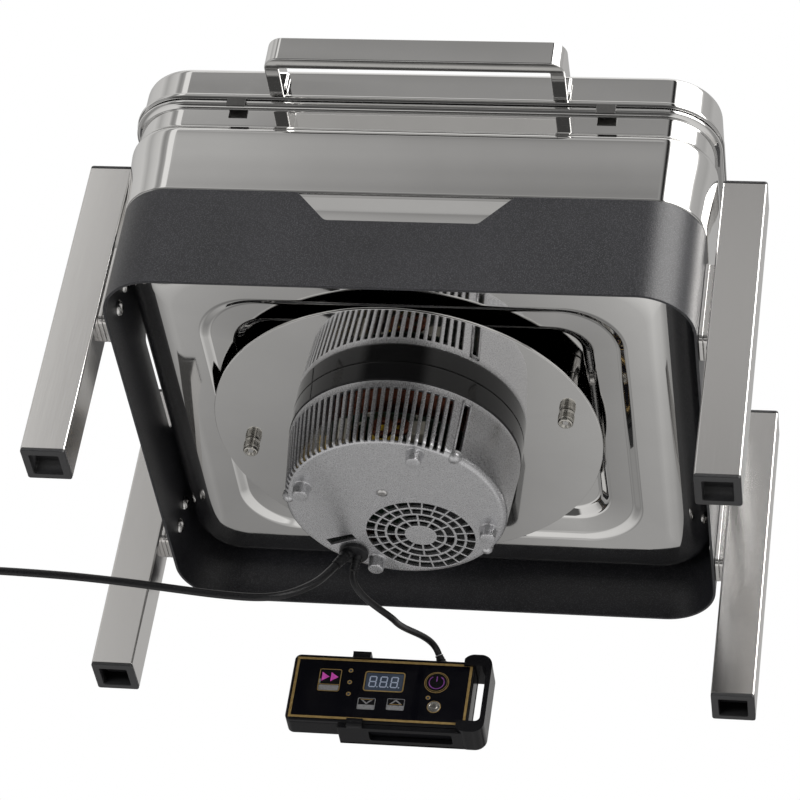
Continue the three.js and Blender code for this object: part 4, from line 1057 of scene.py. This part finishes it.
        b.lathe([(0, 71.2), (1.8, 71.3), (3.2, 71.9), (4.2, 73.1), (4.7, 74.8), (4.7, 78), (4.2, 80.2), (3.0, 81.8), (0, 82.6)], 32, x, y)
    q = math.radians(-51)
    ex, ey, tx, ty = math.cos(q), math.sin(q), -math.sin(q), math.cos(q)
    def rib(w0, w1, z_lo, z_hi, proud, inset=1.0):
        lo_r, hi_r = 82 + 4 * (z_lo - 76.5) / 42.5, 82 + 4 * (z_hi - 76.5) / 42.5
        loops = []
        for r, z in ((lo_r, z_lo), (hi_r, z_hi)):
            loops.append([(ex * rr + tx * w, ey * rr + ty * w, z) for rr, w in ((r - inset, w0), (r - inset, w1), (r + proud * 0.7, w1), (r + proud, w1 - 0.35 * (1 if w1 > w0 else -1)), (r + proud, w0 + 0.35 * (1 if w1 > w0 else -1)), (r + proud * 0.7, w0))])
        b.loft(loops)
    rib(2.35, 4.0, 75.5, 119.6, 0.9)
    rib(-4.0, -2.35, 75.5, 119.6, 0.9)
    rib(-4.0, 4.0, 117.6, 119.6, 0.9)
    x, y = 78.6 * ex, 78.6 * ey
    b.lathe([(0, 71.0), (2.4, 71.1), (4.2, 71.8), (5.3, 73.2), (5.7, 75.2), (5.3, 77.0), (4.0, 78.4), (0, 79)], 36, x, y)
    b.v = [(p[0] + CX, p[1], p[2]) for p in b.v]
    cutter = Build()
    q = math.radians(95.8)
    cutter.lathe([(0, 68), (4.7, 68), (4.7, 84), (0, 84)], 40, CX + 79.6 * math.cos(q), 79.6 * math.sin(q))
    return b.done("burner_shell", SILVER, slot="silver_plastic", replaces=("burner_housing",), sharp=42, weighted=True)


housing()
b = Build()
hx = CX - 8
b.lathe([(0, 72.0), (2.6, 72.02), (3.4, 72.2), (3.8, 72.6), (3.85, 73.3), (1.8, 73.3), (1.8, 84), (0, 84)], 40, hx, -17)
cut = Build()
cut.box(hx - 2.3, hx + 2.3, -17.38, -16.62, 71, 72.9)
cut2 = Build().box(hx - 0.38, hx + 0.38, -19.3, -14.7, 71, 72.9)
b.done("base_screw", BOLT, slot="bright_fastener", replaces=("housing_screw",), cutters=cut, sharp=36)


# ------------------------------------------------------------------ inside the burner
def innards():
    b = Build()
    z = 102.0
    b.lathe([(0, z), (74, z), (74, z + 1.6), (0, z + 1.6)], 96, CX, 0, mi=0)
    def box(x0, x1, y0, y1, low, mi):
        b.box(CX + x0, CX + x1, y0, y1, low, z + 0.1, mi)
    box(-52, -22, -28, 8, 98.5, 2)
    for i in range(11):
        b.box(CX - 52 + i * 2.9, CX - 50.9 + i * 2.9, -28, 8, 80, 98.6, 2)
    box(-14, 6, -60, -44, 86, 3)
    box(34, 46, -44, -30, 82, 6)
    box(-66, -56, -6, 16, 88, 6)
    box(12, 26, -66, -56, 90, 4)
    box(-40, -30, -66, -58, 84, 4)
    for x, y, r, low in ((26, -24, 9, 80), (-34, -46, 8, 82), (-58, -34, 5, 88), (44, -50, 5, 88), (58, -34, 5, 88)):
        b.lathe([(0, low), (r - 0.9, low), (r, low + 0.8), (r, z + 0.1), (0, z + 0.1)], 32, CX + x, y, mi=5)
        b.lathe([(0, low - 0.15), (r * 0.75, low - 0.15), (r * 0.75, low + 0.2), (0, low + 0.2)], 32, CX + x, y, mi=2)
    b.lathe([(0, 85.5), (3, 85.5), (3, z + 0.1), (0, z + 0.1)], 24, CX - 8, -17, mi=6)
    for cx, cy, rad, tube in ((-4, -70, 6.2, 2.6), (9, -71, 5.4, 2.3)):
        n, k = 36, 12
        v = []
        for i in range(n):
            q = 2 * math.pi * i / n
            rr = tube * (1 + 0.12 * (i % 2))
            for j in range(k):
                s = 2 * math.pi * j / k
                v.append((CX + cx + (rad + rr * math.cos(s)) * math.cos(q), cy + rr * math.sin(s), 92 + (rad + rr * math.cos(s)) * math.sin(q)))
        f = [(i * k + j, ((i + 1) % n) * k + j, ((i + 1) % n) * k + (j + 1) % k, i * k + (j + 1) % k) for i in range(n) for j in range(k)]
        b.add(v, f, 1)
    b.box(CX - 54, CX - 44, -58, -50, 78, 92, 3)
    b.box(CX - 53, CX - 45, -57, -51, 76, 94, 6)
    b.done("control_board", [BOARD, COPPER, ALUMINIUM, YELLOW, CREAM, MOULD, CASE], slot="circuit_board", replaces=("circuit_board",), bevel=0.25, segments=1, angle=50)
    x, y = CX + 15, 33
    b = Build()
    b.lathe(fillet([(0, 79), (11, 79), (11, 90.5), (4, 90.5), (4, 91.5), (1.56, 91.5), (1.56, 82), (0, 82)], [0, 1.2, 0.5, 0.2, 0.2, 0.1, 0.1, 0], 3), 48, x, y)
    for k in range(7):
        base = 2 * math.pi * k / 7
        top, bot = [], []
        for i in range(9):
            r = 10.4 + 24.6 * i / 8
            sweep = 0.30 * (i / 8) ** 1.4
            for out, w, h in ((top, -5.2, 90.2), (bot, 5.2, 79.6)):
                q = base + sweep + w / max(r, 14) * 1.25
                out.append((x + r * math.cos(q), y + r * math.sin(q), h))
        loops = []
        for tp, bt in zip(top, bot):
            mid = ((tp[0] + bt[0]) / 2, (tp[1] + bt[1]) / 2, (tp[2] + bt[2]) / 2 - 0.9)
            loops.append([tp, mid, bt, (bt[0], bt[1], bt[2] + 1.1), (mid[0], mid[1], mid[2] + 1.1), (tp[0], tp[1], tp[2] + 1.0)])
        b.loft(loops)
    b.done("cooling_fan", MOULD, "fan", "black_moulding", ("fan_rotor",), sharp=45)
    b = Build()
    b.lathe([(0, 83), (1.2, 83), (1.5, 83.4), (1.5, 92), (11.5, 92), (12, 92.5), (12, 97), (6, 97.4), (6, 101.7), (0, 101.7)], 40, x, y)
    b.done("fan_stator", MOULD, slot="black_moulding", replaces=("fan_motor",), sharp=45)


innards()

# ------------------------------------------------------------------ cable outlet
b = Build()
gx, gy = CX - 38, 57
b.lathe(fillet([(0, 68.6), (11, 68.6), (11, 71.8), (8.8, 71.8), (8.8, 77), (0, 77)], [0, 1.1, 0.5, 0.3, 0.5, 0], 4), 56, gx, gy)
def boot(b, p0, p1, r0, r1, n=24):
    pts, rad = [], []
    steps = 22
    for k in range(steps + 1):
        u = k / steps
        pts.append(tuple(p0[i] + (p1[i] - p0[i]) * u for i in range(3)))
        groove = -0.32 if (k % 4 in (2, 3) and 3 < k < 20) else 0.0
        rad.append(r0 + (r1 - r0) * u + groove)
    b.tube(pts, rad, n)
boot(b, (-53, 55.5, 70.5), (-60, 48.5, 52.6), 4.8, 3.6)
boot(b, (-47.3, 59.5, 70.5), (-49.2, 63.4, 58.9), 4.1, 3.1)
b.done("outlet_grommet", RUBBER, slot="black_rubber", replaces=("cable_grommet",), sharp=50)

# ------------------------------------------------------------------ control box
def plateY(b, outline, y0, y1, mi=0):
    return b.prism(outline, y0, y1, "y", mi)


def frameY(b, x0, x1, z0, z1, r, w, y0, y1, n=6, mi=0):
    o, i = rect(x0, x1, z0, z1, r, n), rect(x0 + w, x1 - w, z0 + w, z1 - w, max(r - w, 0.05), n)
    b.loft([[(p[0], y0, p[1]) for p in o], [(p[0], y1, p[1]) for p in o], [(p[0], y1, p[1]) for p in i], [(p[0], y0, p[1]) for p in i]], ring=True, mi=mi)


def discY(b, x, z, r, y0, y1, n=40, mi=0):
    b.lathe([(0, y0), (r, y0), (r, y1), (0, y1)], n, x, z, "y", mi=mi)


def hoopY(b, x, z, r0, r1, y0, y1, n=48, mi=0):
    b.lathe([(r0, y0), (r1, y0), (r1, y1), (r0, y1)], n, x, z, "y", ring=True, mi=mi)


X0, X1, Z0, Z1, Y0, Y1, CR = -111.5, 30.0, 4.6, 64.9, 187.0, 207.0, 5.0
KEYS = {"button_boost": (-90.3, -72.3, 31.2, 52.2, 2.0), "button_down": (-57.2, -42.7, 16.2, 27.4, 1.4), "button_up": (-34.5, -20.0, 16.8, 28.0, 1.4)}


def shell(d, y0, y1, e, b=None):
    """The case outline between y0 and y1, its y0 edge rounded by e."""
    b = b or Build()
    loops = []
    for k in range(6):
        q = math.pi / 2 * k / 5
        g, h = e * (1 - math.sin(q)), e * (1 - math.cos(q))
        loops.append((g, y0 + h))
    loops.append((0.0, y1))
    b.loft([[(p[0], y, p[1]) for p in rect(X0 + d + g, X1 - d - g, Z0 + d + g, Z1 - d - g, CR - g * 0.8, 10)] for g, y in loops])
    return b


def pockets():
    cut = Build()
    for x0, x1, z0, z1, r in KEYS.values():
        plateY(cut, rect(x0, x1, z0, z1, r, 6), Y0 - 2, Y0 + 4)
    plateY(cut, rect(-53.6, -23.9, 34.4, 50.8, 1.6, 6), Y0 - 2, Y0 + 4)
    discY(cut, 1.8, 44.3, 9.0, Y0 - 2, Y0 + 4, 64)
    discY(cut, 2.4, 22.2, 4.3, Y0 - 2, Y0 + 4, 40)
    return cut


def controller():
    shell(0, Y0 + 0.12, Y0 + 3.1, 1.6).done("remote_front_case", CASE, slot="black_case_plastic", replaces=("controller_front_case",), cutters=pockets(), sharp=40)
    b = Build()
    plateY(b, rect(X0 + 1.7, X1 - 1.7, Z0 + 1.7, Z1 - 1.7, CR - 1.4, 10), Y0 - 0.02, Y0 + 0.5)
    b.done("remote_face_film", FILM, slot="display_glass", cutters=pockets(), bevel=0.12, segments=2)
    b = Build()
    loops = [(1.5, Y0 + 3.0), (1.5, Y0 + 3.4), (0.25, Y0 + 3.42), (0.0, Y0 + 3.7), (0.0, Y1 - 2.6)]
    for k in range(6):
        q = math.pi / 2 * k / 5
        loops.append((2.2 * (1 - math.cos(q)), Y1 - 2.6 + 2.6 * math.sin(q)))
    b.loft([[(p[0], y, p[1]) for p in rect(X0 + g, X1 - g, Z0 + g, Z1 - g, CR - g * 0.8, 10)] for g, y in loops])
    cut = Build().lathe([(0, Z1 - 4), (4.15, Z1 - 4), (4.15, Z1 + 4), (0, Z1 + 4)], 32, 2.3, 197)
    b.done("remote_rear_case", CASE, slot="black_case_plastic", replaces=("controller_rear_case",), cutters=cut, sharp=40)

    b = Build()                     # printed lines, rings and outlines
    y0, y1 = Y0 - 0.07, Y0 + 0.02
    frameY(b, -109.0, 28.0, 7.0, 62.0, 0.3, 2.0, y0, y1, 2)
    for x, z in ((-66, 51.4), (-65.5, 40.8), (-65, 30.1), (-3.1, 30.2)):
        hoopY(b, x, z, 1.0, 1.85, y0, y1, 40)
    frameY(b, -54.5, -23.0, 33.5, 51.7, 2.4, 0.95, y0 - 0.1, y1)
    hoopY(b, 1.8, 44.3, 9.0, 9.5, y0, y1, 72)
    hoopY(b, 2.4, 22.2, 4.9, 5.4, y0, y1, 48)
    b.done("remote_gold_print", GOLD, slot="display_glass", smooth=False)
    b = Build()
    for x, z in ((-66, 51.4), (-65.5, 40.8), (-65, 30.1), (-3.1, 30.2)):
        b.lathe([(0, Y0 - 0.12), (0.5, Y0 - 0.1), (0.9, Y0 - 0.02), (0.95, Y0 + 0.05), (0, Y0 + 0.05)], 24, x, z, "y")
    b.done("remote_indicator_lenses", LENS, slot="display_glass", sharp=60)

    for name, (x0, x1, z0, z1, r) in KEYS.items():
        body = {"button_boost": "boost_key", "button_down": "down_key", "button_up": "up_key"}[name]
        b = Build()
        g = 0.3
        yf = Y0 - 0.33
        plateY(b, rect(x0 + g, x1 - g, z0 + g, z1 - g, r - 0.2, 6), yf, Y0 + 2.2, 0)
        plateY(b, rect((x0 + x1) / 2 - 2, (x0 + x1) / 2 + 2, (z0 + z1) / 2 - 2, (z0 + z1) / 2 + 2, 0.3, 2), Y0 + 2.1, Y0 + 7.9, 0)
        b.done(name.replace("button_", "") + "_key_cap", CASE, body, "key_plastic", (name,), bevel=0.22, segments=2)
        b = Build()
        p0, p1 = yf - 0.05, yf + 0.02
        w, h = x1 - x0, z1 - z0
        if name == "button_boost":
            frameY(b, x0 + g + 0.1, x1 - g - 0.1, z0 + g + 0.1, z1 - g - 0.1, r - 0.4, 0.6, p0, p1, 6, 0)
            b.box(x0 + 1.0, x1 - 1.0, p0, p1, z0 + 6.3, z0 + 6.8, 0)
            plateY(b, rect(x0 + 1.3, x1 - 1.3, z0 + 1.2, z0 + 5.9, 0.8, 4), p0, p1, 1)
            plateY(b, [(x0 + 1.1, z1 - 9.5), (x0 + 2.0, z1 - 9.5), (x0 + 2.0, z0 + 7.4), (x0 + 1.1, z0 + 7.4)], p0, p1, 1)
            for tx in (x0 + 2.6, x0 + 9.6):
                plateY(b, [(tx, z1 - 11.6), (tx + 5.9, z1 - 7.5), (tx, z1 - 3.4)], p0 - 0.01, p1, 2)
        else:
            frameY(b, x0 + g + 0.1, x1 - g - 0.1, z0 + g + 0.1, z1 - g - 0.1, r - 0.3, 0.5, p0, p1, 6, 1)
            plateY(b, rect(x0 + 1.0, x1 - 1.0, z0 + 1.0, z0 + h * 0.42, 0.5, 3), p0, p1, 1)
            cx, cz = (x0 + x1) / 2, z0 + h * 0.68
            s = 1 if name == "button_up" else -1
            plateY(b, [(cx - 4.6, cz - 1.5 * s), (cx, cz + 2.4 * s), (cx + 4.6, cz - 1.5 * s), (cx + 3.0, cz - 1.5 * s), (cx, cz + 1.0 * s), (cx - 3.0, cz - 1.5 * s)], p0, p1, 1)
            plateY(b, [(cx - 4.9, cz - 2.2 * s), (cx + 4.9, cz - 2.2 * s), (cx + 4.9, cz - 1.7 * s), (cx - 4.9, cz - 1.7 * s)], p0, p1, 0)
        b.done(name.replace("button_", "") + "_key_print", [GOLD, SILVER_INK, MAGENTA], body, "key_plastic", smooth=False)

    b = Build()
    b.lathe([(0, Y0 - 0.33), (8.35, Y0 - 0.33), (8.6, Y0 - 0.22), (8.65, Y0), (8.65, Y0 + 2.2), (2, Y0 + 2.2), (2, Y0 + 7.9), (0, Y0 + 7.9)], 64, 1.8, 44.3, "y")
    b.done("power_key_cap", CASE, "power_key", "key_plastic", ("button_power",), sharp=50)
    b = Build()
    hoopY(b, 1.8, 44.3, 8.0, 8.35, Y0 - 0.38, Y0 - 0.31, 72, 0)
    n = 44
    arc_o, arc_i = [], []
    for k in range(n + 1):
        q = math.radians(90 + 34 + (360 - 68) * k / n)
        arc_o.append((1.8 + 6.1 * math.cos(q), 44.3 + 6.1 * math.sin(q)))
        arc_i.append((1.8 + 5.45 * math.cos(q), 44.3 + 5.45 * math.sin(q)))
    for k in range(n):
        plateY(b, [arc_o[k], arc_o[k + 1], arc_i[k + 1], arc_i[k]], Y0 - 0.4, Y0 - 0.31, 1)
    plateY(b, rect(1.8 - 0.35, 1.8 + 0.35, 44.9, 49.6, 0.3, 4), Y0 - 0.4, Y0 - 0.31, 1)
    b.done("power_key_print", [GOLD, VIOLET], "power_key", "key_plastic", smooth=False)
    b = Build()
    b.lathe([(0, Y0 - 0.75), (1.5, Y0 - 0.72), (2.4, Y0 - 0.55), (2.7, Y0 - 0.3), (3.3, Y0 - 0.3), (3.7, Y0 - 0.68), (4.3, Y0 - 0.72), (4.8, Y0 - 0.45), (4.9, Y0 - 0.1), (4.0, Y0 - 0.1), (4.0, Y0 + 5), (0, Y0 + 5)], 48, 2.4, 22.2, "y")
    b.done("power_lamp_bezel", NICKEL, slot="nickel", replaces=("power_lamp",), sharp=34)

    b = Build()
    plateY(b, rect(-53.4, -24.1, 34.6, 50.6, 1.4, 6), Y0 + 0.3, Y0 + 2.4)
    b.done("display_lens", LENS, slot="display_glass", replaces=("display_window",), bevel=0.15, segments=2)
    b = Build()
    w, h, s, lean = 5.0, 9.2, 0.95, 0.05
    for k in range(3):
        ox, oz = -50.4 + 8.4 * k, 38.0
        def seg(x0, z0, x1, z1):
            horiz = abs(x1 - x0) > abs(z1 - z0)
            t = s / 2
            if horiz:
                q = [(x0 + 0.15, z0), (x0 + t, z0 + t), (x1 - t, z0 + t), (x1 - 0.15, z0), (x1 - t, z0 - t), (x0 + t, z0 - t)]
            else:
                q = [(x0, z0 + 0.15), (x0 + t, z0 + t), (x0 + t, z1 - t), (x0, z1 - 0.15), (x0 - t, z1 - t), (x0 - t, z0 + t)]
            plateY(b, [(ox + x + z * lean, oz + z) for x, z in q], Y0 + 0.2, Y0 + 0.31)
        for x0, z0, x1, z1 in ((0, 0, w, 0), (0, h / 2, w, h / 2), (0, h, w, h), (0, 0, 0, h / 2), (0, h / 2, 0, h), (w, 0, w, h / 2), (w, h / 2, w, h)):
            seg(x0, z0, x1, z1)
        plateY(b, circle(ox + w + 1.5, oz, 0.55, 16), Y0 + 0.2, Y0 + 0.31)
    b.done("display_digits", SEGMENT, slot="display_glass", smooth=False)

    b = Build()
    path = [((2.3, 197, Z1 - 6), 3.9), ((2.3, 197, Z1 + 0.3), 3.9), ((2.3, 197, Z1 + 0.32), 4.6), ((2.3, 197, Z1 + 0.5), 4.9), ((2.3, 197, Z1 + 1.7), 4.9), ((2.3, 197, Z1 + 2.0), 4.6), ((2.3, 197, Z1 + 2.02), 4.1)]
    for k, p in enumerate(bezier((2.3, 197, Z1 + 2.1), (2.2, 196.9, Z1 + 4.0), (0.8, 194.3, Z1 + 4.8), (-0.52, 191.95, 72.56), 18)[1:]):
        path.append((p, 4.15 - 1.05 * k / 17 - (0.3 if k % 4 in (2, 3) and k < 16 else 0.0)))
    b.tube([p for p, _ in path], [r for _, r in path], 36)
    b.done("remote_strain_relief", RUBBER, slot="black_rubber", replaces=("controller_strain_relief",), sharp=50)


controller()


def cradle():
    back, fy = Y1 + 0.3, Y0 - 2.6
    b = Build().box(-70, 30, back, back + 3, 0, 62)
    b.done("cradle_back", CASE, slot="black_case_plastic", replaces=("controller_cradle",), bevel=0.7, segments=3,
           cutters=Build().prism(rect(-40, 18, 14, 50, 3, 6), back - 1, back + 5, "y"))
    b = Build().box(-70, 26, Y0 + 1, back + 3, 0, Z0 - 0.3)
    b.done("cradle_floor", CASE, slot="black_case_plastic", bevel=0.7, segments=3,
           cutters=Build().prism(rect(-46, 18, Y0 + 5, back - 3, 1.5, 6), -1, 8))
    b = Build().prism(rect(20, 43, 0, 70, 9, 10), fy, back + 3, "y")
    cuts = [Build().prism(rect(18, 39, 10, 60, 4, 8), fy - 2, back + 6, "y"), Build().box(-60, X1 + 0.3, Y0 - 0.3, back, Z0 - 0.3, Z1 + 0.3),
            Build().box(-60, X1 - 8.7, fy - 1, Y0 + 0.5, -1, 80)]
    b.done("cradle_end_loop", CASE, slot="black_case_plastic", bevel=0.9, cutters=cuts)
    b = Build()
    b.box(-66, -52, Y0 - 2.4, back + 3, Z1 + 0.3, Z1 + 3)
    b.box(-66, -52, Y0 - 2.4, Y0 - 0.3, Z1 - 2.4, Z1 + 3)
    b.box(-66, -52, back + 0.01, back + 3, 55, Z1 + 3)
    b.box(-63, -50, Y0 - 2.4, Y0 + 1.5, 0, Z0 - 0.3)
    b.box(-63, -50, Y0 - 2.4, Y0 - 0.3, 0, Z0 + 2.6)
    b.done("cradle_clips", CASE, slot="black_case_plastic", bevel=0.5, segments=3)


cradle()
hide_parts("controller_board")


# ------------------------------------------------------------------ mains plug
def plug():
    x, z, y = -389.0, 12.6, 85.5
    def section(hx, hz, r, yy, n=8, dz=0.0):
        return [(p[0], yy, p[1]) for p in rounded(hx, hz, r, n, x, z + dz)]
    b = Build()
    loops = []
    for k in range(27):
        u = k / 26
        yy = y - 4 + 30 * u
        r = 3.5 + 3.4 * u ** 1.5
        if 3 < k < 20 and k % 4 in (2, 3):
            r -= 0.45
        loops.append(section(r, r, r * 0.98, yy, 8, -1.2 * (1 - u)))
    for hx, hz, r, yy in ((9.5, 9.4, 6.8, 112.5), (12.0, 11.6, 6.2, 115.5), (13.0, 12.3, 5.6, 119.5), (13.0, 12.35, 5.2, 127.5), (12.2, 11.4, 5.0, 131.5), (12.0, 11.2, 5.0, 137.5), (12.8, 12.0, 5.2, 141.5), (13.4, 12.35, 5.6, 145.1),
                          (14.4, 12.38, 6.0, 145.7), (15.0, 12.4, 6.0, 146.5), (15.0, 12.4, 6.0, 150.7), (14.5, 12.2, 5.8, 151.45)):
        loops.append(section(hx, hz, r, yy))
    b.loft(loops)
    ob = b.done("plug_body", RUBBER, slot="black_rubber", replaces=("mains_plug",), sharp=48)
    b = Build()
    for s in (-1, 1):
        x0, x1 = sorted((x + s * 5.6, x + s * 7.2))
        outline = [(151.2, z - 1.2), (165.7, z - 1.2), (167.5, z + 0.2), (167.5, z + 3.7), (165.7, z + 5.1), (151.2, z + 5.1)]
        b.prism(outline, x0, x1, "x")
    b.lathe([(0, 151.2), (2.4, 151.2), (2.4, 166.5), (1.9, 168.9), (1.0, 170.2), (0, 170.5)], 28, x, z - 6, "y")
    blades = b.done("plug_blades", BRASS, slot="bright_fastener", bevel=0.22, segments=2,
                    cutters=Build().lathe([(0, x - 9), (1.5, x - 9), (1.5, x + 9), (0, x + 9)], 20, 163.0, z + 2.0, "x"))
    return ob, blades


plug_body, plug_blades = plug()
W(CONTROL_LEAD[0])
round(polyline_length(lead_path) / 1000, 3)
[W(p) for p in lead_path]
round(polyline_length(mains_path) / 1000, 3)
[W(p) for p in mains_path]
print("cord lengths", polyline_length(lead_path), polyline_length(mains_path))


# ------------------------------------------------------------------ studio
def studio():
    world = bpy.data.worlds.new("studio")
    scene.world = world
    world.use_nodes = True
    t = world.node_tree
    t.nodes.clear()
    out, bg = t.nodes.new("ShaderNodeOutputWorld"), t.nodes.new("ShaderNodeBackground")
    t.links.new(bg.outputs[0], out.inputs[0])
    geo = t.nodes.new("ShaderNodeTexCoord").outputs["Generated"]
    sep = t.nodes.new("ShaderNodeSeparateXYZ")
    t.links.new(geo, sep.inputs[0])
    sx, sy, sz = sep.outputs

    def m(op, a, b=0.0, c=None):
        n = t.nodes.new("ShaderNodeMath")
        n.operation = op
        for k, v in enumerate((a, b) if c is None else (a, b, c)):
            if hasattr(v, "is_output"):
                t.links.new(v, n.inputs[k])
            else:
                n.inputs[k].default_value = v
        return n.outputs[0]

    def curve(value, lo, hi, *stops):
        """Brightness against an angle, linear between the stops."""
        n = t.nodes.new("ShaderNodeValToRGB")
        t.links.new(m("DIVIDE", m("SUBTRACT", value, lo), hi - lo), n.inputs[0])
        e = n.color_ramp.elements
        while len(e) < len(stops):
            e.new(0.5)
        for k, (a, v) in enumerate(stops):
            e[k].position = (a - lo) / (hi - lo)
            e[k].color = (v, v, v, 1)
        return n.outputs["Color"]

    def mix(f, a, b):
        return m("ADD", m("MULTIPLY", a, m("SUBTRACT", 1.0, f)), m("MULTIPLY", b, f))

    def smooth(v, a, b):
        n = t.nodes.new("ShaderNodeMapRange")
        n.interpolation_type = "SMOOTHSTEP"
        t.links.new(v, n.inputs[0])
        n.inputs[1].default_value, n.inputs[2].default_value = a, b
        return n.outputs[0]

    deg = 57.29578
    az = m("ADD", m("MULTIPLY", m("ARCTAN2", sx, m("MULTIPLY", sy, -1.0)), deg), 12.5)      # 0 where the front faces mirror
    ab = m("ADD", m("MULTIPLY", m("ARCTAN2", sx, sy), deg), 12.5)                          # 0 where the base mirrors
    el = m("MULTIPLY", m("ARCSINE", sz), deg)
    ring = curve(az, -180, 195, (-180, 0.42), (-128, 0.45), (-104, 0.55), (-75, 0.60), (-60, 0.42), (-48, 0.55), (-36, 0.62), (-31, 0.32), (-27, 0.26), (-23, 0.34), (23, 0.30), (26, 0.02), (30, 0.02), (33, 1.0), (88, 0.95), (95, 0.46), (116, 0.40), (128, 0.48), (195, 0.42))
    ring = m("MULTIPLY", ring, m("ADD", 1.0, m("MULTIPLY", m("MULTIPLY", smooth(az, 30.0, 40.0), m("SUBTRACT", 1.0, smooth(az, 84.0, 92.0))), 4.0)))
    front_el = curve(el, 20, 60, (20, 0.34), (30, 0.35), (33, 0.31), (36.4, 0.25), (37.6, 0.40), (40.6, 0.44), (41.2, 0.31), (41.7, 0.25), (42.3, 0.31), (43.2, 0.28), (44.5, 0.25), (50, 0.24), (60, 0.35))
    low_wall = curve(az, -12, 12, (-12, 0.85), (-5, 0.80), (-2.5, 0.72), (1.0, 0.58), (5, 0.54), (12, 0.54))
    front = m("MULTIPLY", front_el, mix(smooth(el, 36.0, 37.6), m("MULTIPLY", low_wall, 1.7), 1.0))
    front = m("MAXIMUM", front, curve(az, -12, 12, (-12, 0.82), (-8.6, 0.80), (-7.4, 0.0), (12, 0.0)))
    in_front = m("MULTIPLY", m("SUBTRACT", 1.0, smooth(m("ABSOLUTE", az), 18.0, 22.0)), m("MULTIPLY", smooth(el, 16.0, 22.0), m("SUBTRACT", 1.0, smooth(el, 56.0, 64.0))))
    upper = mix(in_front, ring, front)
    overhead = smooth(el, 62.0, 72.0)
    upper = mix(overhead, upper, 0.9)
    horizon = m("SUBTRACT", 1.0, smooth(m("ABSOLUTE", m("SUBTRACT", el, 4.0)), 5.0, 9.0))
    upper = mix(m("MULTIPLY", horizon, 0.85), upper, 0.05)
    low_el = curve(el, -90, 0, (-90, 0.55), (-60, 0.50), (-44, 0.45), (-40, 0.39), (-37.5, 0.30), (-34, 0.23), (-28, 0.17), (-14, 0.25), (0, 0.25))
    low_az = curve(ab, -14, 14, (-14, 1.35), (-5.5, 1.30), (-3.0, 1.05), (-0.5, 0.86), (2.0, 0.95), (4.5, 1.30), (8, 1.5), (14, 1.35))
    lower = m("MULTIPLY", low_el, low_az)
    near_el = curve(el, -90, 0, (-90, 0.30), (-72, 0.10), (-58, 0.06), (-53, 0.06), (-51, 0.55), (-47, 0.55), (-45, 0.06), (-30, 0.05), (-16, 0.12), (-12, 0.35), (-9, 0.10), (0, 0.05))
    near = m("MULTIPLY", m("SUBTRACT", 1.0, smooth(m("ABSOLUTE", az), 24.0, 40.0)), m("SUBTRACT", 1.0, smooth(el, -6.0, 0.0)))
    lower = mix(near, lower, near_el)
    value = mix(smooth(el, -9.0, -3.0), lower, upper)
    lp = t.nodes.new("ShaderNodeLightPath")
    colour = t.nodes.new("ShaderNodeCombineColor")
    warm = m("MULTIPLY", value, 1.01)
    t.links.new(mix(lp.outputs["Is Camera Ray"], warm, 1.0), colour.inputs[0])
    t.links.new(mix(lp.outputs["Is Camera Ray"], value, 1.0), colour.inputs[1])
    t.links.new(mix(lp.outputs["Is Camera Ray"], m("MULTIPLY", value, 0.985), 1.0), colour.inputs[2])
    t.links.new(colour.outputs[0], bg.inputs[0])

    def lamp(name, at, look, size, power, glossy=True):
        d = bpy.data.lights.new(name, "AREA")
        d.shape, d.size, d.size_y, d.energy = "RECTANGLE", size[0], size[1], power
        o = bpy.data.objects.new(name, d)
        scene.collection.objects.link(o)
        o.location = at
        o.rotation_euler = (Vector(look) - Vector(at)).to_track_quat("-Z", "Y").to_euler()
        o.visible_camera = False
        o.visible_glossy = glossy
        return o

    lamp("key_low_left", (-1.3, -1.5, -0.9), (0, 0, 0.1), (1.0, 1.0), 16, False)
    lamp("low_back", (0.2, 0.9, -1.5), (0, 0, 0.1), (1.0, 0.8), 9, False)
    lamp("side_right", (1.9, -0.7, 0.6), (0, 0, 0.15), (0.7, 1.4), 12, False)
    lamp("overhead", (-0.4, -0.5, 2.2), (0, 0, 0.1), (1.6, 1.6), 26, False)

    me = bpy.data.meshes.new("floor")
    me.from_pydata([(-2.2, -2.2, -0.0004), (2.2, -2.2, -0.0004), (2.2, 2.2, -0.0004), (-2.2, 2.2, -0.0004)], [], [(0, 1, 2, 3)])
    floor = bpy.data.objects.new("floor", me)
    scene.collection.objects.link(floor)
    fm = bpy.data.materials.new("pale_floor")
    fm.use_nodes = True
    ft = fm.node_tree
    ft.nodes.clear()
    o, diff, clear, mx, g = (ft.nodes.new(k) for k in ("ShaderNodeOutputMaterial", "ShaderNodeBsdfDiffuse", "ShaderNodeBsdfTransparent", "ShaderNodeMixShader", "ShaderNodeNewGeometry"))
    diff.inputs[0].default_value = (0.80, 0.80, 0.79, 1)
    ft.links.new(g.outputs["Backfacing"], mx.inputs[0])
    ft.links.new(diff.outputs[0], mx.inputs[1])
    ft.links.new(clear.outputs[0], mx.inputs[2])
    ft.links.new(mx.outputs[0], o.inputs[0])
    me.materials.append(fm)
    floor.visible_glossy = floor.visible_diffuse = floor.visible_shadow = False


studio()

bpy.context.view_layer.update()
